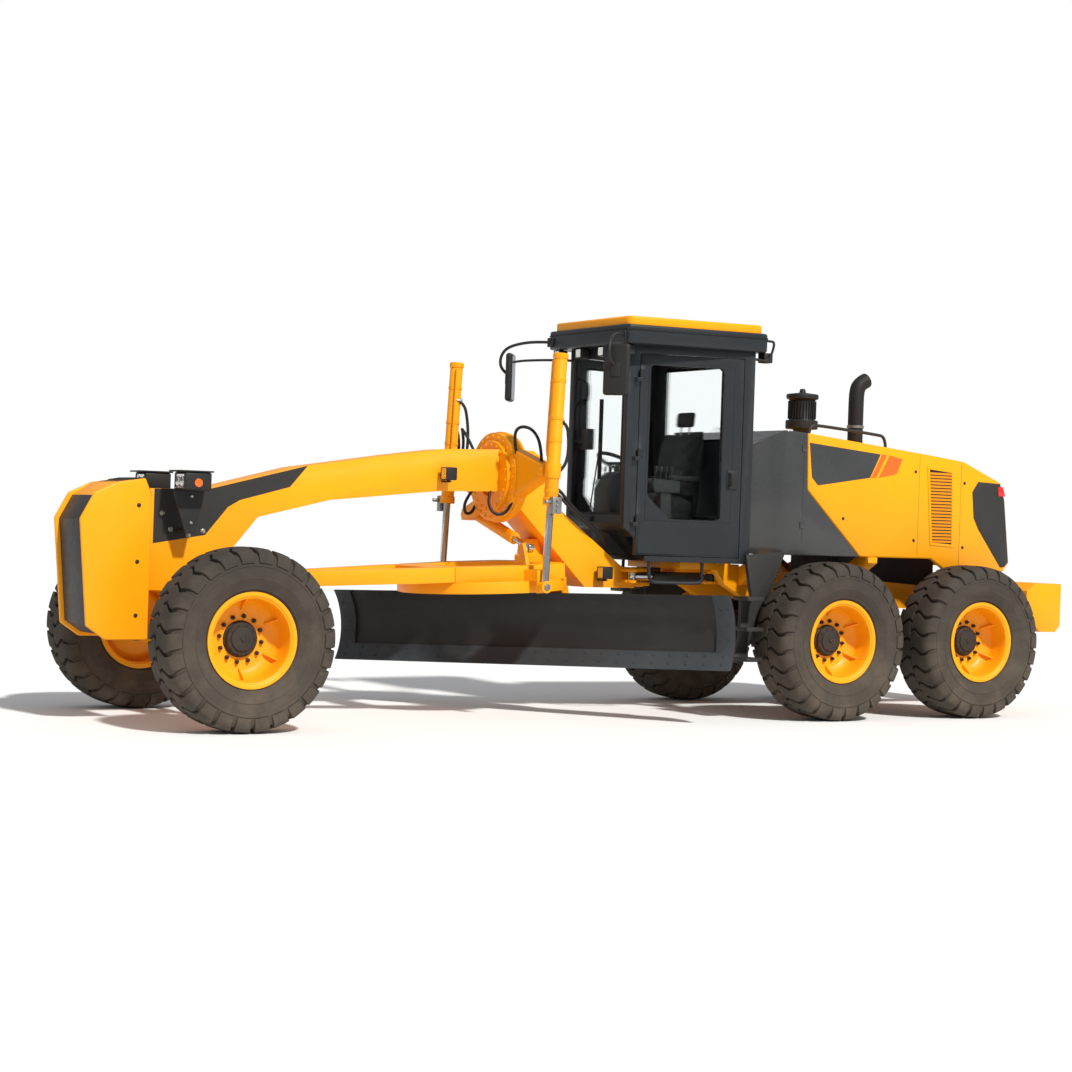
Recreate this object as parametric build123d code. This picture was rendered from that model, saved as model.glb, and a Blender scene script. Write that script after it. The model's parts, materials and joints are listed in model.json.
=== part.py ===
from build123d import *
import os
from math import atan2, cos, degrees, hypot, pi, radians, sin, sqrt

# Motor grader. Millimetres, +X forward, +Y to the operator's left, +Z up.
# The origin is on the ground under the middle of the whole machine.

# Overall layout
OVERALL_LENGTH = 9360
FRONT_OVERHANG = 970
WHEELBASE = 5440
TANDEM_SPACING = 1560
FRONT_AXLE_X = OVERALL_LENGTH / 2 - FRONT_OVERHANG
MID_AXLE_X = FRONT_AXLE_X - WHEELBASE
REAR_AXLE_X = MID_AXLE_X - TANDEM_SPACING
TANDEM_X = (MID_AXLE_X + REAR_AXLE_X) / 2
REAR_END_X = -OVERALL_LENGTH / 2
WHEEL_Y = 1070
FLAT_GAP = 0.3
PIN_PLAY = 0.05
CLEAR = 6

# Tyres and rims
TYRE_RADIUS = 672
TYRE_WIDTH = 440
LUG_DEPTH = 30
LUG_COUNT = 24
LUG_SHARE = 0.52
BEAD_RADIUS = 318
BEAD_HALF = 168
RIM_WALL = 13
RIM_FLANGE_RADIUS = 352
RIM_FLANGE_THICK = 13
DISC_THICK = 22
HUB_RADIUS = 122
SPINDLE_RADIUS = 62
NUT_CIRCLE = 165
NUT_COUNT = 10
NUT_RADIUS = 17
NUT_HEIGHT = 20

# Nose cover, outline from the front axle (x, z)
NOSE_HALF = 290
NOSE_OUTLINE = [
    (418, 618), (750, 618), (900, 720), (FRONT_OVERHANG, 1510), (865, 1704), (690, 1785), (472, 1823), (418, 1700),
]

# Gooseneck, outline from the front axle (x, z)
NECK_HALF = 160
AXLE_SEAT_Z = 860
NECK_OUTLINE = [
    (418, 1750), (418, 985), (78, 985), (78, AXLE_SEAT_Z), (-78, AXLE_SEAT_Z), (-78, 1080), (-321, 1341), (-505, 1562),
    (-1117, 1714), (-2102, 1821), (-2700, 1839), (-2700, 2185), (-2153, 2163), (-1725, 2103), (-848, 1962),
    (-83, 1762),
]

# Saddle ring and the leg that goes down to the hinge
SADDLE_X = 965
SADDLE_Z = 1960
SADDLE_RADIUS = 366
SADDLE_THICK = 130
LEG_HALF = 200
HINGE_X = -450
LEG_BOTTOM_Z = 1066
LEG_OUTLINE = [
    (1010, 1839), (212, LEG_BOTTOM_Z), (-291, LEG_BOTTOM_Z), (-284, 1185), (-137, 1258), (482, 1705), (532, 2040),
    (760, 2185), (1010, 2185),
]
HINGE_PIN_RADIUS = 55
HINGE_LUG_RADIUS = 110
HINGE_LUGS_Z = [(1082, 1112), (1202, 1232)]
HINGE_TONGUE_Z = (1127, 1187)
ARTICULATION = 25

# Lift cylinders
LIFT_Y = 840
LIFT_TRUNNION_Z = 2010
LIFT_BARREL_TOP = 2950
LIFT_BARREL_BOTTOM = 1735
LIFT_BARREL_RADIUS = 55
LIFT_ROD_RADIUS = 30
TRUNNION_RADIUS = 30
LIFT_EYE_X = 1010
LIFT_EYE_LOCAL_Z = 955

# Centre shift cylinder: pin on the saddle (y, z) and eye on the drawbar's post (y, z, drawn level)
SHIFT_X = SADDLE_X - 100
SHIFT_PIVOT = (-495, 1640)
SHIFT_EYE = (360, 1250)

# Articulation cylinders
ART_PIVOT = (-1050, 240, 1169)
ART_EYE = (-200, 290, 1169)
ART_PLATES_Z = [(1112, 1136), (1202, 1226)]

# Front axle, wheel lean and steering
LEAN_PIVOT_Y = 655
LEAN_PIVOT_Z = 600
LEAN_PIN_RADIUS = 32
KINGPIN_Y = 830
KINGPIN_RADIUS = 32
LEAN_ANGLE = 17
STEER_ANGLE = 42
LEAN_BAR_Y = 600
LEAN_BAR_Z = 940
STEER_ARM = (-175, -30)
STEER_ROD_Z = 650

# Drawbar, circle and blade, drawn level and then tilted up at the rear about the front ball
BALL_X = 3400
BALL_Z = 1120
BALL_RADIUS = 80
DRAWBAR_PITCH = 3.0
RING_X = 1100
RING_RADIUS = 700
RING_INNER = 560
RING_Z = (905, 1000)
DRAWBAR_Z = (RING_Z[1] + FLAT_GAP, 1120)
BLADE_ANGLE = 57
BLADE_LENGTH = 3660
BLADE_SHIFT = 214
BLADE_EDGE_Y = -330
BLADE_BOTTOM_Z = 258
BLADE_HEIGHT = 605
BLADE_SAGITTA = 120
BLADE_THICK = 22
EDGE_HEIGHT = 140
EDGE_THICK = 20
TIP_PIVOT = (-640, 430)
TIP_BARREL_PIVOT = (-960, 815)
TIP_EYE = (-590, 745)
TIP_RANGE = (-5, 40)
LIFT_RANGE = (-12, 1.5)
SHIFT_RANGE = (-350, 750)
RAIL_HALF = 1500
RAIL_DEPTH = 45
RAILS_Z = [(455, 495), (625, 665)]
CLAMP_LIPS_Z = [(438, 455 - FLAT_GAP), (495 + FLAT_GAP, 512), (608, 625 - FLAT_GAP), (665 + FLAT_GAP, 682)]

# Cab
CAB_FRONT_X = 10
CAB_REAR_X = -1090
CAB_FRONT_HALF = 450
CAB_REAR_HALF = 740
CAB_FLOOR_Z = 1300
CAB_SILL_Z = 1600
CAB_EAVE_Z = 3100
CAB_WALL = 40
DOOR_OPEN = 85

SEAT_X = -640

# Engine hood and the rear frame
HOOD_HALF = 800
HOOD_OUTLINE = [
    (-1640, 2443), (-3019, 2316), (-3437, 2272), (-3883, 2100), (-3939, 1947), (-4015, 1373), (-3945, 1289),
    (-3243, 1289), (-3073, 1389), (-2255, 1389), (-1653, 1953),
]
FRAME_HALF = 400
BUMPER_Z = (742, 1190)

# Tow pin and ripper bolts on the bumper
TOW_X = REAR_END_X + 95
TOW_SLOT_Z = (880, 1010)
TOW_RADIUS = 25.5
RIPPER_Y = 300
RIPPER_Z = (880, 1100)
RIPPER_HOLE_RADIUS = 13
RIPPER_HOLE_DEPTH = 60


def block(x, y, z):
    """A box between the two values given for each axis."""
    middle = [(low + high) / 2 for low, high in (x, y, z)]
    size = [high - low for low, high in (x, y, z)]
    return Pos(*middle) * Box(*size)


def side_shape(points, low, high):
    """An outline of (x, z) points, solid from y low to y high."""
    wire = Polyline(*[(x, low, z) for x, z in points], close=True)
    return extrude(make_face(wire), amount=high - low, dir=(0, 1, 0))


def front_shape(points, low, high):
    """An outline of (y, z) points, solid from x low to x high."""
    wire = Polyline(*[(low, y, z) for y, z in points], close=True)
    return extrude(make_face(wire), amount=high - low, dir=(1, 0, 0))


def plan_shape(points, low, high):
    """An outline of (x, y) points, solid from z low to z high."""
    wire = Polyline(*[(x, y, low) for x, y in points], close=True)
    return extrude(make_face(wire), amount=high - low, dir=(0, 0, 1))


def bar(start, end, radius):
    """A round bar from one point to the other."""
    start, end = Vector(*start), Vector(*end)
    run = end - start
    return Plane(origin=start, z_dir=run) * Pos(0, 0, run.length / 2) * Cylinder(radius, run.length)


def tube(start, end, outer, inner):
    """A round tube from one point to the other."""
    return bar(start, end, outer) - bar(start, end, inner)


def mirrored(shape):
    """The same shape on the other side of the machine."""
    return mirror(shape, about=Plane.XZ)


def both_sides(shape):
    """Left and right copies, which may be separate solids."""
    return shape + mirrored(shape)


def from_axle(points):
    """Outline points given from the front axle, in machine coordinates."""
    return [(FRONT_AXLE_X + x, z) for x, z in points]


# Tilt of the drawbar about its ball, and the blade's own frame under the circle:
# x along the blade to its front right end, y ahead of the blade, z up.
TILT = Pos(BALL_X, 0, BALL_Z) * Rot(0, DRAWBAR_PITCH, 0) * Pos(-BALL_X, 0, -BALL_Z)
BLADE_FRAME = TILT * Pos(RING_X, 0, 0) * Rot(0, 0, -BLADE_ANGLE)


def placed(frame, point):
    """A point of the given frame, in machine coordinates."""
    return (frame * Pos(*point)).position


def turned(frame, direction):
    """A direction of the given frame, in machine coordinates."""
    return placed(frame, direction) - placed(frame, (0, 0, 0))


# Tyres and rims, drawn about the Y axis with the outside towards +Y

def toothed_ring(low, high, shift):
    """One row of lugs: a ring whose outline steps between lug tips and grooves."""
    pitch = 2 * pi / LUG_COUNT
    groove = TYRE_RADIUS - LUG_DEPTH
    points = []
    for lug in range(LUG_COUNT):
        first = -pi / 2 + (lug + shift) * pitch
        last = first + pitch * LUG_SHARE
        for radius, angle in ((TYRE_RADIUS, first), (TYRE_RADIUS, last), (groove, last), (groove, first + pitch)):
            points.append((radius * cos(angle), radius * sin(angle)))
    return side_shape(points, low, high)


def tyre():
    half = TYRE_WIDTH / 2
    groove = TYRE_RADIUS - LUG_DEPTH
    profile = [
        (BEAD_RADIUS, -BEAD_HALF), (BEAD_RADIUS, BEAD_HALF), (RIM_FLANGE_RADIUS + 3, BEAD_HALF),
        (RIM_FLANGE_RADIUS + 60, half - 12),
        (500, half), (600, half - 14), (groove - 6, half - 50), (groove - 6, 50 - half), (600, 14 - half),
        (500, -half), (RIM_FLANGE_RADIUS + 60, 12 - half), (RIM_FLANGE_RADIUS + 3, -BEAD_HALF),
    ]
    wire = Polyline(*[(r, y, 0) for r, y in profile], close=True)
    carcass = revolve(make_face(wire), axis=Axis.Y)
    bore = Rot(90, 0, 0) * Cylinder(groove - 60, TYRE_WIDTH)
    rows = toothed_ring(0, half - 18, 0) + toothed_ring(18 - half, 0, 0.5)
    return carcass + (rows - bore)


def rim():
    half = BEAD_HALF + RIM_FLANGE_THICK
    seat = BEAD_RADIUS - FLAT_GAP
    inner = seat - RIM_WALL
    flange = RIM_FLANGE_RADIUS
    barrel = [
        (inner, -half), (flange, -half), (flange, -BEAD_HALF - FLAT_GAP), (seat, -BEAD_HALF - FLAT_GAP),
        (seat, BEAD_HALF + FLAT_GAP), (flange, BEAD_HALF + FLAT_GAP), (flange, half), (inner, half),
        (inner - 18, 60), (235, DISC_THICK / 2), (HUB_RADIUS, DISC_THICK / 2), (HUB_RADIUS, DISC_THICK + 14),
        (0, DISC_THICK + 14), (0, DISC_THICK / 2), (SPINDLE_RADIUS + PIN_PLAY, DISC_THICK / 2),
        (SPINDLE_RADIUS + PIN_PLAY, -110), (95, -110), (110, -DISC_THICK / 2), (235, -DISC_THICK / 2),
        (inner - 18 - RIM_WALL, 40), (inner, 0),
    ]
    wire = Polyline(*[(r, y, 0) for r, y in barrel], close=True)
    shape = revolve(make_face(wire), axis=Axis.Y)
    for nut in range(NUT_COUNT):
        angle = 2 * pi * nut / NUT_COUNT
        centre = Pos(NUT_CIRCLE * cos(angle), DISC_THICK / 2 + NUT_HEIGHT / 2, NUT_CIRCLE * sin(angle))
        shape += centre * Rot(90, 0, 0) * extrude(RegularPolygon(NUT_RADIUS, 6), NUT_HEIGHT / 2, both=True)
    return shape


WHEELS = {
    "front_left": (FRONT_AXLE_X, 1), "front_right": (FRONT_AXLE_X, -1),
    "mid_left": (MID_AXLE_X, 1), "mid_right": (MID_AXLE_X, -1),
    "rear_left": (REAR_AXLE_X, 1), "rear_right": (REAR_AXLE_X, -1),
}


def at_wheel(shape, axle_x, side):
    """Place a wheel piece, with its outside away from the machine."""
    if side < 0:
        shape = mirrored(shape)
    return Pos(axle_x, side * WHEEL_Y, TYRE_RADIUS) * shape


# Front frame

def nose_cover():
    shape = side_shape(from_axle(NOSE_OUTLINE), -NOSE_HALF, NOSE_HALF)
    grille_x = FRONT_AXLE_X + FRONT_OVERHANG
    for slot in range(6):
        z = 860 + slot * 100
        shape -= block((grille_x - 60, grille_x + 60), (-170, 170), (z, z + 45))
    return shape


def hinge_lugs():
    lugs = []
    for low, high in HINGE_LUGS_Z:
        plate = block((HINGE_X, -270), (-HINGE_LUG_RADIUS, HINGE_LUG_RADIUS), (low, high))
        plate += bar((HINGE_X, 0, low), (HINGE_X, 0, high), HINGE_LUG_RADIUS)
        plate -= bar((HINGE_X, 0, low - 1), (HINGE_X, 0, high + 1), HINGE_PIN_RADIUS + PIN_PLAY)
        lugs.append(plate)
    return lugs[0] + lugs[1]


def front_frame():
    neck = side_shape(from_axle(NECK_OUTLINE), -NECK_HALF, NECK_HALF)
    leg = side_shape(LEG_OUTLINE, -LEG_HALF, LEG_HALF)
    socket = block((BALL_X - 12, FRONT_AXLE_X - 70), (-105, 105), (BALL_Z - 105, BALL_Z + 105))
    socket -= Pos(BALL_X, 0, BALL_Z) * Sphere(BALL_RADIUS + PIN_PLAY)
    shape = neck + leg + socket
    shape += block((-330, -240), (-120, 120), (LEG_BOTTOM_Z + 14, 1240))
    shape += hinge_lugs()
    eye_x, eye_y = ART_EYE[0], ART_EYE[1]
    for low, high in ART_PLATES_Z:
        plate = block((eye_x - 60, eye_x + 60), (LEG_HALF - 10, eye_y), (low, high))
        plate += bar((eye_x, eye_y, low), (eye_x, eye_y, high), 50)
        shape += both_sides(plate)
    return shape


def leg_front_z(x):
    """Height of the leg's front edge."""
    (top_x, top_z), (low_x, low_z) = LEG_OUTLINE[0], LEG_OUTLINE[1]
    return low_z + (top_z - low_z) * (x - low_x) / (top_x - low_x)


def saddle():
    ring = bar((SADDLE_X - SADDLE_THICK / 2, 0, SADDLE_Z), (SADDLE_X + SADDLE_THICK / 2, 0, SADDLE_Z), SADDLE_RADIUS)
    arm = front_shape(
        [(200, 1800), (330, 1790), (LIFT_Y - 75, 1965), (LIFT_Y - 75, 2055), (330, 2180), (200, 2200)],
        SADDLE_X - 50, SADDLE_X + 50,
    )
    boss = bar((SADDLE_X, LIFT_Y - 150, LIFT_TRUNNION_Z), (SADDLE_X, LIFT_Y - 66, LIFT_TRUNNION_Z), 62)
    hole = bar((SADDLE_X, LIFT_Y - 152, LIFT_TRUNNION_Z), (SADDLE_X, LIFT_Y - 60, LIFT_TRUNNION_Z),
               TRUNNION_RADIUS + PIN_PLAY)
    shape = ring + both_sides(arm + boss)
    shape -= both_sides(hole)
    pivot_y, pivot_z = SHIFT_PIVOT
    shape += front_shape([(-250, 1690), (-250, 1790), (pivot_y - 25, pivot_z + 50), (pivot_y - 45, pivot_z),
                          (pivot_y - 25, pivot_z - 45), (pivot_y + 30, pivot_z - 45)], SADDLE_X - 45, SADDLE_X + 45)
    rear, front = SADDLE_X - 100, SADDLE_X + 100
    hole = side_shape([(rear, leg_front_z(rear)), (1010, leg_front_z(1010)), (front, leg_front_z(1010) - 3),
                       (front, 2185), (rear, 2185)], -LEG_HALF, LEG_HALF)
    return shape - hole


# Front axle

def front_axle():
    z = LEAN_PIVOT_Z
    beam = front_shape(
        [(-590, z - 60), (-200, z - 90), (200, z - 90), (590, z - 60), (590, z + 60), (220, z + 110), (110, AXLE_SEAT_Z),
         (-110, AXLE_SEAT_Z), (-220, z + 110), (-590, z + 60)],
        FRONT_AXLE_X - 75, FRONT_AXLE_X + 75,
    )
    plate = front_shape([(560, z - 60), (LEAN_PIVOT_Y, z - 60), (LEAN_PIVOT_Y, z + 60), (560, z + 60)],
                        FRONT_AXLE_X - 25, FRONT_AXLE_X + 25)
    plate += bar((FRONT_AXLE_X - 25, LEAN_PIVOT_Y, z), (FRONT_AXLE_X + 25, LEAN_PIVOT_Y, z), 60)
    pin = bar((FRONT_AXLE_X - 70, LEAN_PIVOT_Y, z), (FRONT_AXLE_X + 70, LEAN_PIVOT_Y, z), LEAN_PIN_RADIUS)
    shape = beam + both_sides(plate + pin)
    rod_x = FRONT_AXLE_X + STEER_ARM[0] - 52
    cylinder = bar((rod_x, -250, STEER_ROD_Z), (rod_x, 250, STEER_ROD_Z), 48)
    bracket = block((rod_x, FRONT_AXLE_X - 60), (-120, 120), (STEER_ROD_Z - 40, STEER_ROD_Z + 30))
    shape += cylinder + bracket
    shape -= bar((rod_x, -260, STEER_ROD_Z), (rod_x, 260, STEER_ROD_Z), 22 + PIN_PLAY)
    return shape


def lean_yoke():
    """Left yoke: it leans about the axle's end pin and carries the kingpin."""
    z = LEAN_PIVOT_Z
    cheeks = []
    for low, high in ((-66, -30), (30, 66)):
        outline = [(LEAN_PIVOT_Y - 50, z - 50), (KINGPIN_Y - 70, 560), (KINGPIN_Y - 45, 575), (KINGPIN_Y - 45, 790),
                   (KINGPIN_Y - 70, 800), (640, 800), (620, 700), (LEAN_PIVOT_Y - 50, z + 50)]
        cheeks.append(front_shape(outline, FRONT_AXLE_X + low, FRONT_AXLE_X + high))
    web = block((FRONT_AXLE_X - 66, FRONT_AXLE_X + 66), (730, KINGPIN_Y - 45), (575, 790))
    top = block((FRONT_AXLE_X - 66, FRONT_AXLE_X + 66), (640, 740), (730, 800))
    kingpin = bar((FRONT_AXLE_X, KINGPIN_Y, 560), (FRONT_AXLE_X, KINGPIN_Y, 784), KINGPIN_RADIUS)
    caps = []
    for low, high in ((556, 586), (758, 788)):
        caps.append(block((FRONT_AXLE_X - 40, FRONT_AXLE_X + 40), (KINGPIN_Y - 60, KINGPIN_Y), (low, high)))
        caps.append(bar((FRONT_AXLE_X, KINGPIN_Y, low), (FRONT_AXLE_X, KINGPIN_Y, high), 40))
    arm_x = FRONT_AXLE_X - 66
    arm = front_shape([(640, 760), (LEAN_BAR_Y - 32, LEAN_BAR_Z - 10), (LEAN_BAR_Y - 10, LEAN_BAR_Z + 32),
                       (LEAN_BAR_Y + 25, LEAN_BAR_Z + 25), (740, 790)], arm_x - 16, arm_x + 16)
    shape = cheeks[0] + cheeks[1] + web + top + kingpin + arm
    for cap in caps:
        shape += cap
    hole = bar((FRONT_AXLE_X - 80, LEAN_PIVOT_Y, z), (FRONT_AXLE_X + 80, LEAN_PIVOT_Y, z), LEAN_PIN_RADIUS + PIN_PLAY)
    return shape - hole


def steering_knuckle():
    """Left knuckle: a sleeve on the kingpin, the spindle and the steering arm."""
    sleeve = tube((FRONT_AXLE_X, KINGPIN_Y, 587), (FRONT_AXLE_X, KINGPIN_Y, 757), 43, KINGPIN_RADIUS + PIN_PLAY)
    spindle = bar((FRONT_AXLE_X, KINGPIN_Y + 36, TYRE_RADIUS), (FRONT_AXLE_X, WHEEL_Y + 6, TYRE_RADIUS), SPINDLE_RADIUS)
    collar = bar((FRONT_AXLE_X, KINGPIN_Y + 36, TYRE_RADIUS), (FRONT_AXLE_X, WHEEL_Y - 112, TYRE_RADIUS), 80)
    tip_x, tip_y = FRONT_AXLE_X + STEER_ARM[0], KINGPIN_Y + STEER_ARM[1]
    low, high = STEER_ROD_Z - 16, STEER_ROD_Z + 16
    arm = plan_shape([(tip_x, tip_y - 28), (FRONT_AXLE_X - 92, KINGPIN_Y + 12), (FRONT_AXLE_X - 10, KINGPIN_Y + 38),
                      (FRONT_AXLE_X - 10, KINGPIN_Y + 70), (FRONT_AXLE_X - 70, KINGPIN_Y + 60), (tip_x, tip_y + 28)],
                     low, high)
    arm += bar((tip_x, tip_y, low), (tip_x, tip_y, high), 28)
    return sleeve + spindle + collar + arm


def steering_rod():
    rod_x = FRONT_AXLE_X + STEER_ARM[0] - 52
    end = KINGPIN_Y + STEER_ARM[1]
    shape = bar((rod_x, -end + 20, STEER_ROD_Z), (rod_x, end - 20, STEER_ROD_Z), 22)
    for side in (-1, 1):
        shape += block((rod_x - 15, rod_x + 17), (side * end - 30, side * end + 30), (STEER_ROD_Z - 30, STEER_ROD_Z + 30))
    return shape


def lean_bar():
    x = FRONT_AXLE_X - 66 - 16 - FLAT_GAP
    shape = bar((x - 24, -LEAN_BAR_Y + 20, LEAN_BAR_Z), (x - 24, LEAN_BAR_Y - 20, LEAN_BAR_Z), 24)
    for side in (-1, 1):
        shape += bar((x - 40, side * LEAN_BAR_Y, LEAN_BAR_Z), (x, side * LEAN_BAR_Y, LEAN_BAR_Z), 30)
    return shape


def headlamps():
    lamp = block((FRONT_AXLE_X + 30, FRONT_AXLE_X + 250), (290, 500), (1740, 1880))
    lamp += block((FRONT_AXLE_X + 20, FRONT_AXLE_X + 290), (280, 510), (1880, 1892))
    post = block((FRONT_AXLE_X + 100, FRONT_AXLE_X + 160), (330, 380), (1450, 1741))
    foot = block((FRONT_AXLE_X + 90, FRONT_AXLE_X + 170), (NECK_HALF + FLAT_GAP, 380), (1430, 1470))
    return both_sides(lamp + post + foot)


# Drawbar, circle and blade

def drawbar():
    low, high = DRAWBAR_Z
    ball = Pos(BALL_X, 0, BALL_Z) * Sphere(BALL_RADIUS)
    tongue = bar((BALL_X - 20, 0, BALL_Z), (BALL_X - 240, 0, BALL_Z), 50)
    beam = plan_shape([(BALL_X - 200, 0), (BALL_X - 200, 75), (1800, 470), (1600, 470), (1600, 330),
                       (BALL_X - 420, 0)], low, high)
    web_front = plan_shape([(1750, -460), (1750, 460), (1500, 480), (1500, -480)], low, high)
    side = plan_shape([(1620, 340), (1620, 480), (1100, 640), (640, 560), (520, 300), (520, 200), (700, 300),
                       (1100, 430), (1450, 330)], low, high)
    rear = plan_shape([(520, -320), (520, 320), (700, 340), (700, -340)], low, high)
    arm = plan_shape([(LIFT_EYE_X - 90, 500), (LIFT_EYE_X - 45, LIFT_Y - 38), (LIFT_EYE_X + 45, LIFT_Y - 38),
                      (LIFT_EYE_X + 90, 500)], low, high - 30)
    lug = block((LIFT_EYE_X - 45, LIFT_EYE_X + 45), (LIFT_Y - 60, LIFT_Y - 36), (LIFT_EYE_LOCAL_Z - 50, high - 30))
    shape = ball + tongue + both_sides(beam + side + arm + lug) + web_front + rear
    eye_y, eye_z = SHIFT_EYE
    post_x = SHIFT_X + 22 + 18
    post = front_shape([(eye_y - 60, low), (eye_y + 120, low), (eye_y + 30, eye_z + 20), (eye_y + 10, eye_z + 45),
                        (eye_y - 25, eye_z + 30)], post_x, post_x + 30)
    return TILT * (shape + post)


def circle():
    low, high = RING_Z
    ring = tube((0, 0, low), (0, 0, high), RING_RADIUS, RING_INNER)
    arm_outline = [(-440, low + 5), (-585, low + 5), (-695, 560), (-700, 380), (-600, 360), (-572, 520), (-572, 700),
                   (-470, 860)]
    pivot_y, pivot_z = TIP_PIVOT
    arm = front_shape(arm_outline, 455, 515)
    hole = bar((440, pivot_y, pivot_z), (530, pivot_y, pivot_z), 30 + PIN_PLAY)
    arm -= hole
    shape = ring + arm + Pos(-970, 0, 0) * arm
    beam = block((-470, 470), (-600, -540), (820, low - 15))
    shape += beam
    by, bz = TIP_BARREL_PIVOT
    for x in (-62, 40):
        plate = front_shape([(-560, 800), (by - 40, bz - 38), (by - 40, bz + 38), (-560, low - 15)], x, x + 22)
        shape += plate
    return BLADE_FRAME * shape


def moldboard_arc(offset):
    """Points of the concave board, offset behind its face: bottom, middle and top."""
    bottom, top = BLADE_BOTTOM_Z, BLADE_BOTTOM_Z + BLADE_HEIGHT
    middle = (bottom + top) / 2
    return ((BLADE_EDGE_Y - offset, bottom), (BLADE_EDGE_Y - BLADE_SAGITTA - offset, middle),
            (BLADE_EDGE_Y - offset, top))


def board_section(offset, thick, x):
    """Closed face of the board's section at x, set back behind its face."""
    front = moldboard_arc(offset)
    back = moldboard_arc(offset + thick)
    lines = [ThreePointArc(*[(x, y, z) for y, z in front]), ThreePointArc(*[(x, y, z) for y, z in back])]
    lines.append(Line((x, *front[0]), (x, *back[0])))
    lines.append(Line((x, *front[2]), (x, *back[2])))
    return make_face(lines)


def blade_span():
    """The blade's ends along its own length at rest."""
    return -BLADE_LENGTH / 2 - BLADE_SHIFT, BLADE_LENGTH / 2 - BLADE_SHIFT


def moldboard():
    start, end = blade_span()
    board = extrude(board_section(EDGE_THICK, BLADE_THICK, start), amount=end - start, dir=(1, 0, 0))
    back = BLADE_EDGE_Y - BLADE_SAGITTA - EDGE_THICK - BLADE_THICK
    rails = (-RAIL_HALF - BLADE_SHIFT, RAIL_HALF - BLADE_SHIFT)
    for low, high in RAILS_Z:
        board += block(rails, (back - RAIL_DEPTH, back + 12), (low, high))
    return BLADE_FRAME * board


def cutting_edge():
    start, end = blade_span()
    strip = extrude(board_section(0, EDGE_THICK - FLAT_GAP, start), amount=end - start, dir=(1, 0, 0))
    keep = block((start - 1, end + 1), (-600, -200), (BLADE_BOTTOM_Z - 1, BLADE_BOTTOM_Z + EDGE_HEIGHT))
    ends = block((start - 1, start + 150), (-600, -200), (BLADE_BOTTOM_Z - 1, BLADE_BOTTOM_Z + BLADE_HEIGHT + 1))
    ends += block((end - 150, end + 1), (-600, -200), (BLADE_BOTTOM_Z - 1, BLADE_BOTTOM_Z + BLADE_HEIGHT + 1))
    return BLADE_FRAME * (strip & (keep + ends))


def blade_carrier():
    """Tilt frame: hinged low on the circle's arms, it holds the board's two rails."""
    back = BLADE_EDGE_Y - BLADE_SAGITTA - EDGE_THICK - BLADE_THICK
    rear = back - RAIL_DEPTH - FLAT_GAP
    pivot_y, pivot_z = TIP_PIVOT
    shape = None
    for x in (-440, 390):
        plate = front_shape([(rear, 445), (rear, 680), (rear - 30, 680), (pivot_y - 42, pivot_z + 40),
                             (pivot_y - 42, pivot_z - 42), (pivot_y + 30, pivot_z - 42)], x, x + 50)
        shape = plate if shape is None else shape + plate
        wide = (-440, -300) if x < 0 else (300, 440)
        for low, high in CLAMP_LIPS_Z:
            shape += block(wide, (rear - 20, back - 8), (low, high))
        shape += block(wide, (rear - 22, rear), (438, 682))
    cross = block((-440, 440), (rear - 40, rear - 10), (520, 600))
    pins = bar((-515, pivot_y, pivot_z), (-430, pivot_y, pivot_z), 30) + bar(
        (430, pivot_y, pivot_z), (515, pivot_y, pivot_z), 30)
    ey, ez = TIP_EYE
    eye_lugs = None
    for x in (-62, 40):
        lug = front_shape([(rear - 12, 520), (rear - 40, 520), (ey - 32, ez), (ey - 20, ez + 32), (ey + 20, ez + 32),
                           (rear - 12, 640)], x, x + 22)
        eye_lugs = lug if eye_lugs is None else eye_lugs + lug
    return BLADE_FRAME * (shape + cross + pins + eye_lugs)


# Cylinders: a barrel that swings on its pin, and a rod that slides in it

def cylinder_pair(pivot, eye, barrel_start, barrel_end, rod_back, barrel_radius, rod_radius, eye_radius, width, across):
    """Barrel and rod between two pins. Lengths run from the pivot towards the eye."""
    pivot, eye = Vector(*pivot), Vector(*eye)
    across = Vector(*across).normalized()
    way = (eye - pivot).normalized()
    start, end = pivot + way * barrel_start, pivot + way * barrel_end
    rod_start = eye - way * rod_back
    barrel = bar(start, end, barrel_radius)
    barrel -= bar(start + way * 25, end + way, rod_radius + PIN_PLAY)
    rod = bar(rod_start, eye - way * (eye_radius - 6), rod_radius)
    rod += bar(eye - across * width / 2, eye + across * width / 2, eye_radius)
    return barrel, rod


def lift_points():
    """Trunnion and rod eye of the left lift cylinder."""
    eye = placed(TILT, (LIFT_EYE_X, LIFT_Y, LIFT_EYE_LOCAL_Z))
    return Vector(SADDLE_X, LIFT_Y, LIFT_TRUNNION_Z), eye


def lift_cylinders():
    pivot, eye = lift_points()
    way = (eye - pivot).normalized()
    barrel, rod = cylinder_pair(pivot, eye, LIFT_TRUNNION_Z - LIFT_BARREL_TOP, LIFT_TRUNNION_Z - LIFT_BARREL_BOTTOM,
                                1250, LIFT_BARREL_RADIUS, LIFT_ROD_RADIUS, 42, 71, (0, 1, 0))
    pin = bar((SADDLE_X, LIFT_Y - 148, LIFT_TRUNNION_Z), (SADDLE_X, LIFT_Y - 45, LIFT_TRUNNION_Z), TRUNNION_RADIUS)
    collar = tube(pivot - way * 60, pivot + way * 60, LIFT_BARREL_RADIUS + 10, LIFT_BARREL_RADIUS - 5)
    bore = bar(pivot - way * 200, pivot + way * 200, LIFT_ROD_RADIUS + PIN_PLAY)
    barrel = barrel + collar + pin - bore
    return both_sides(barrel), both_sides(rod)


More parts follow.
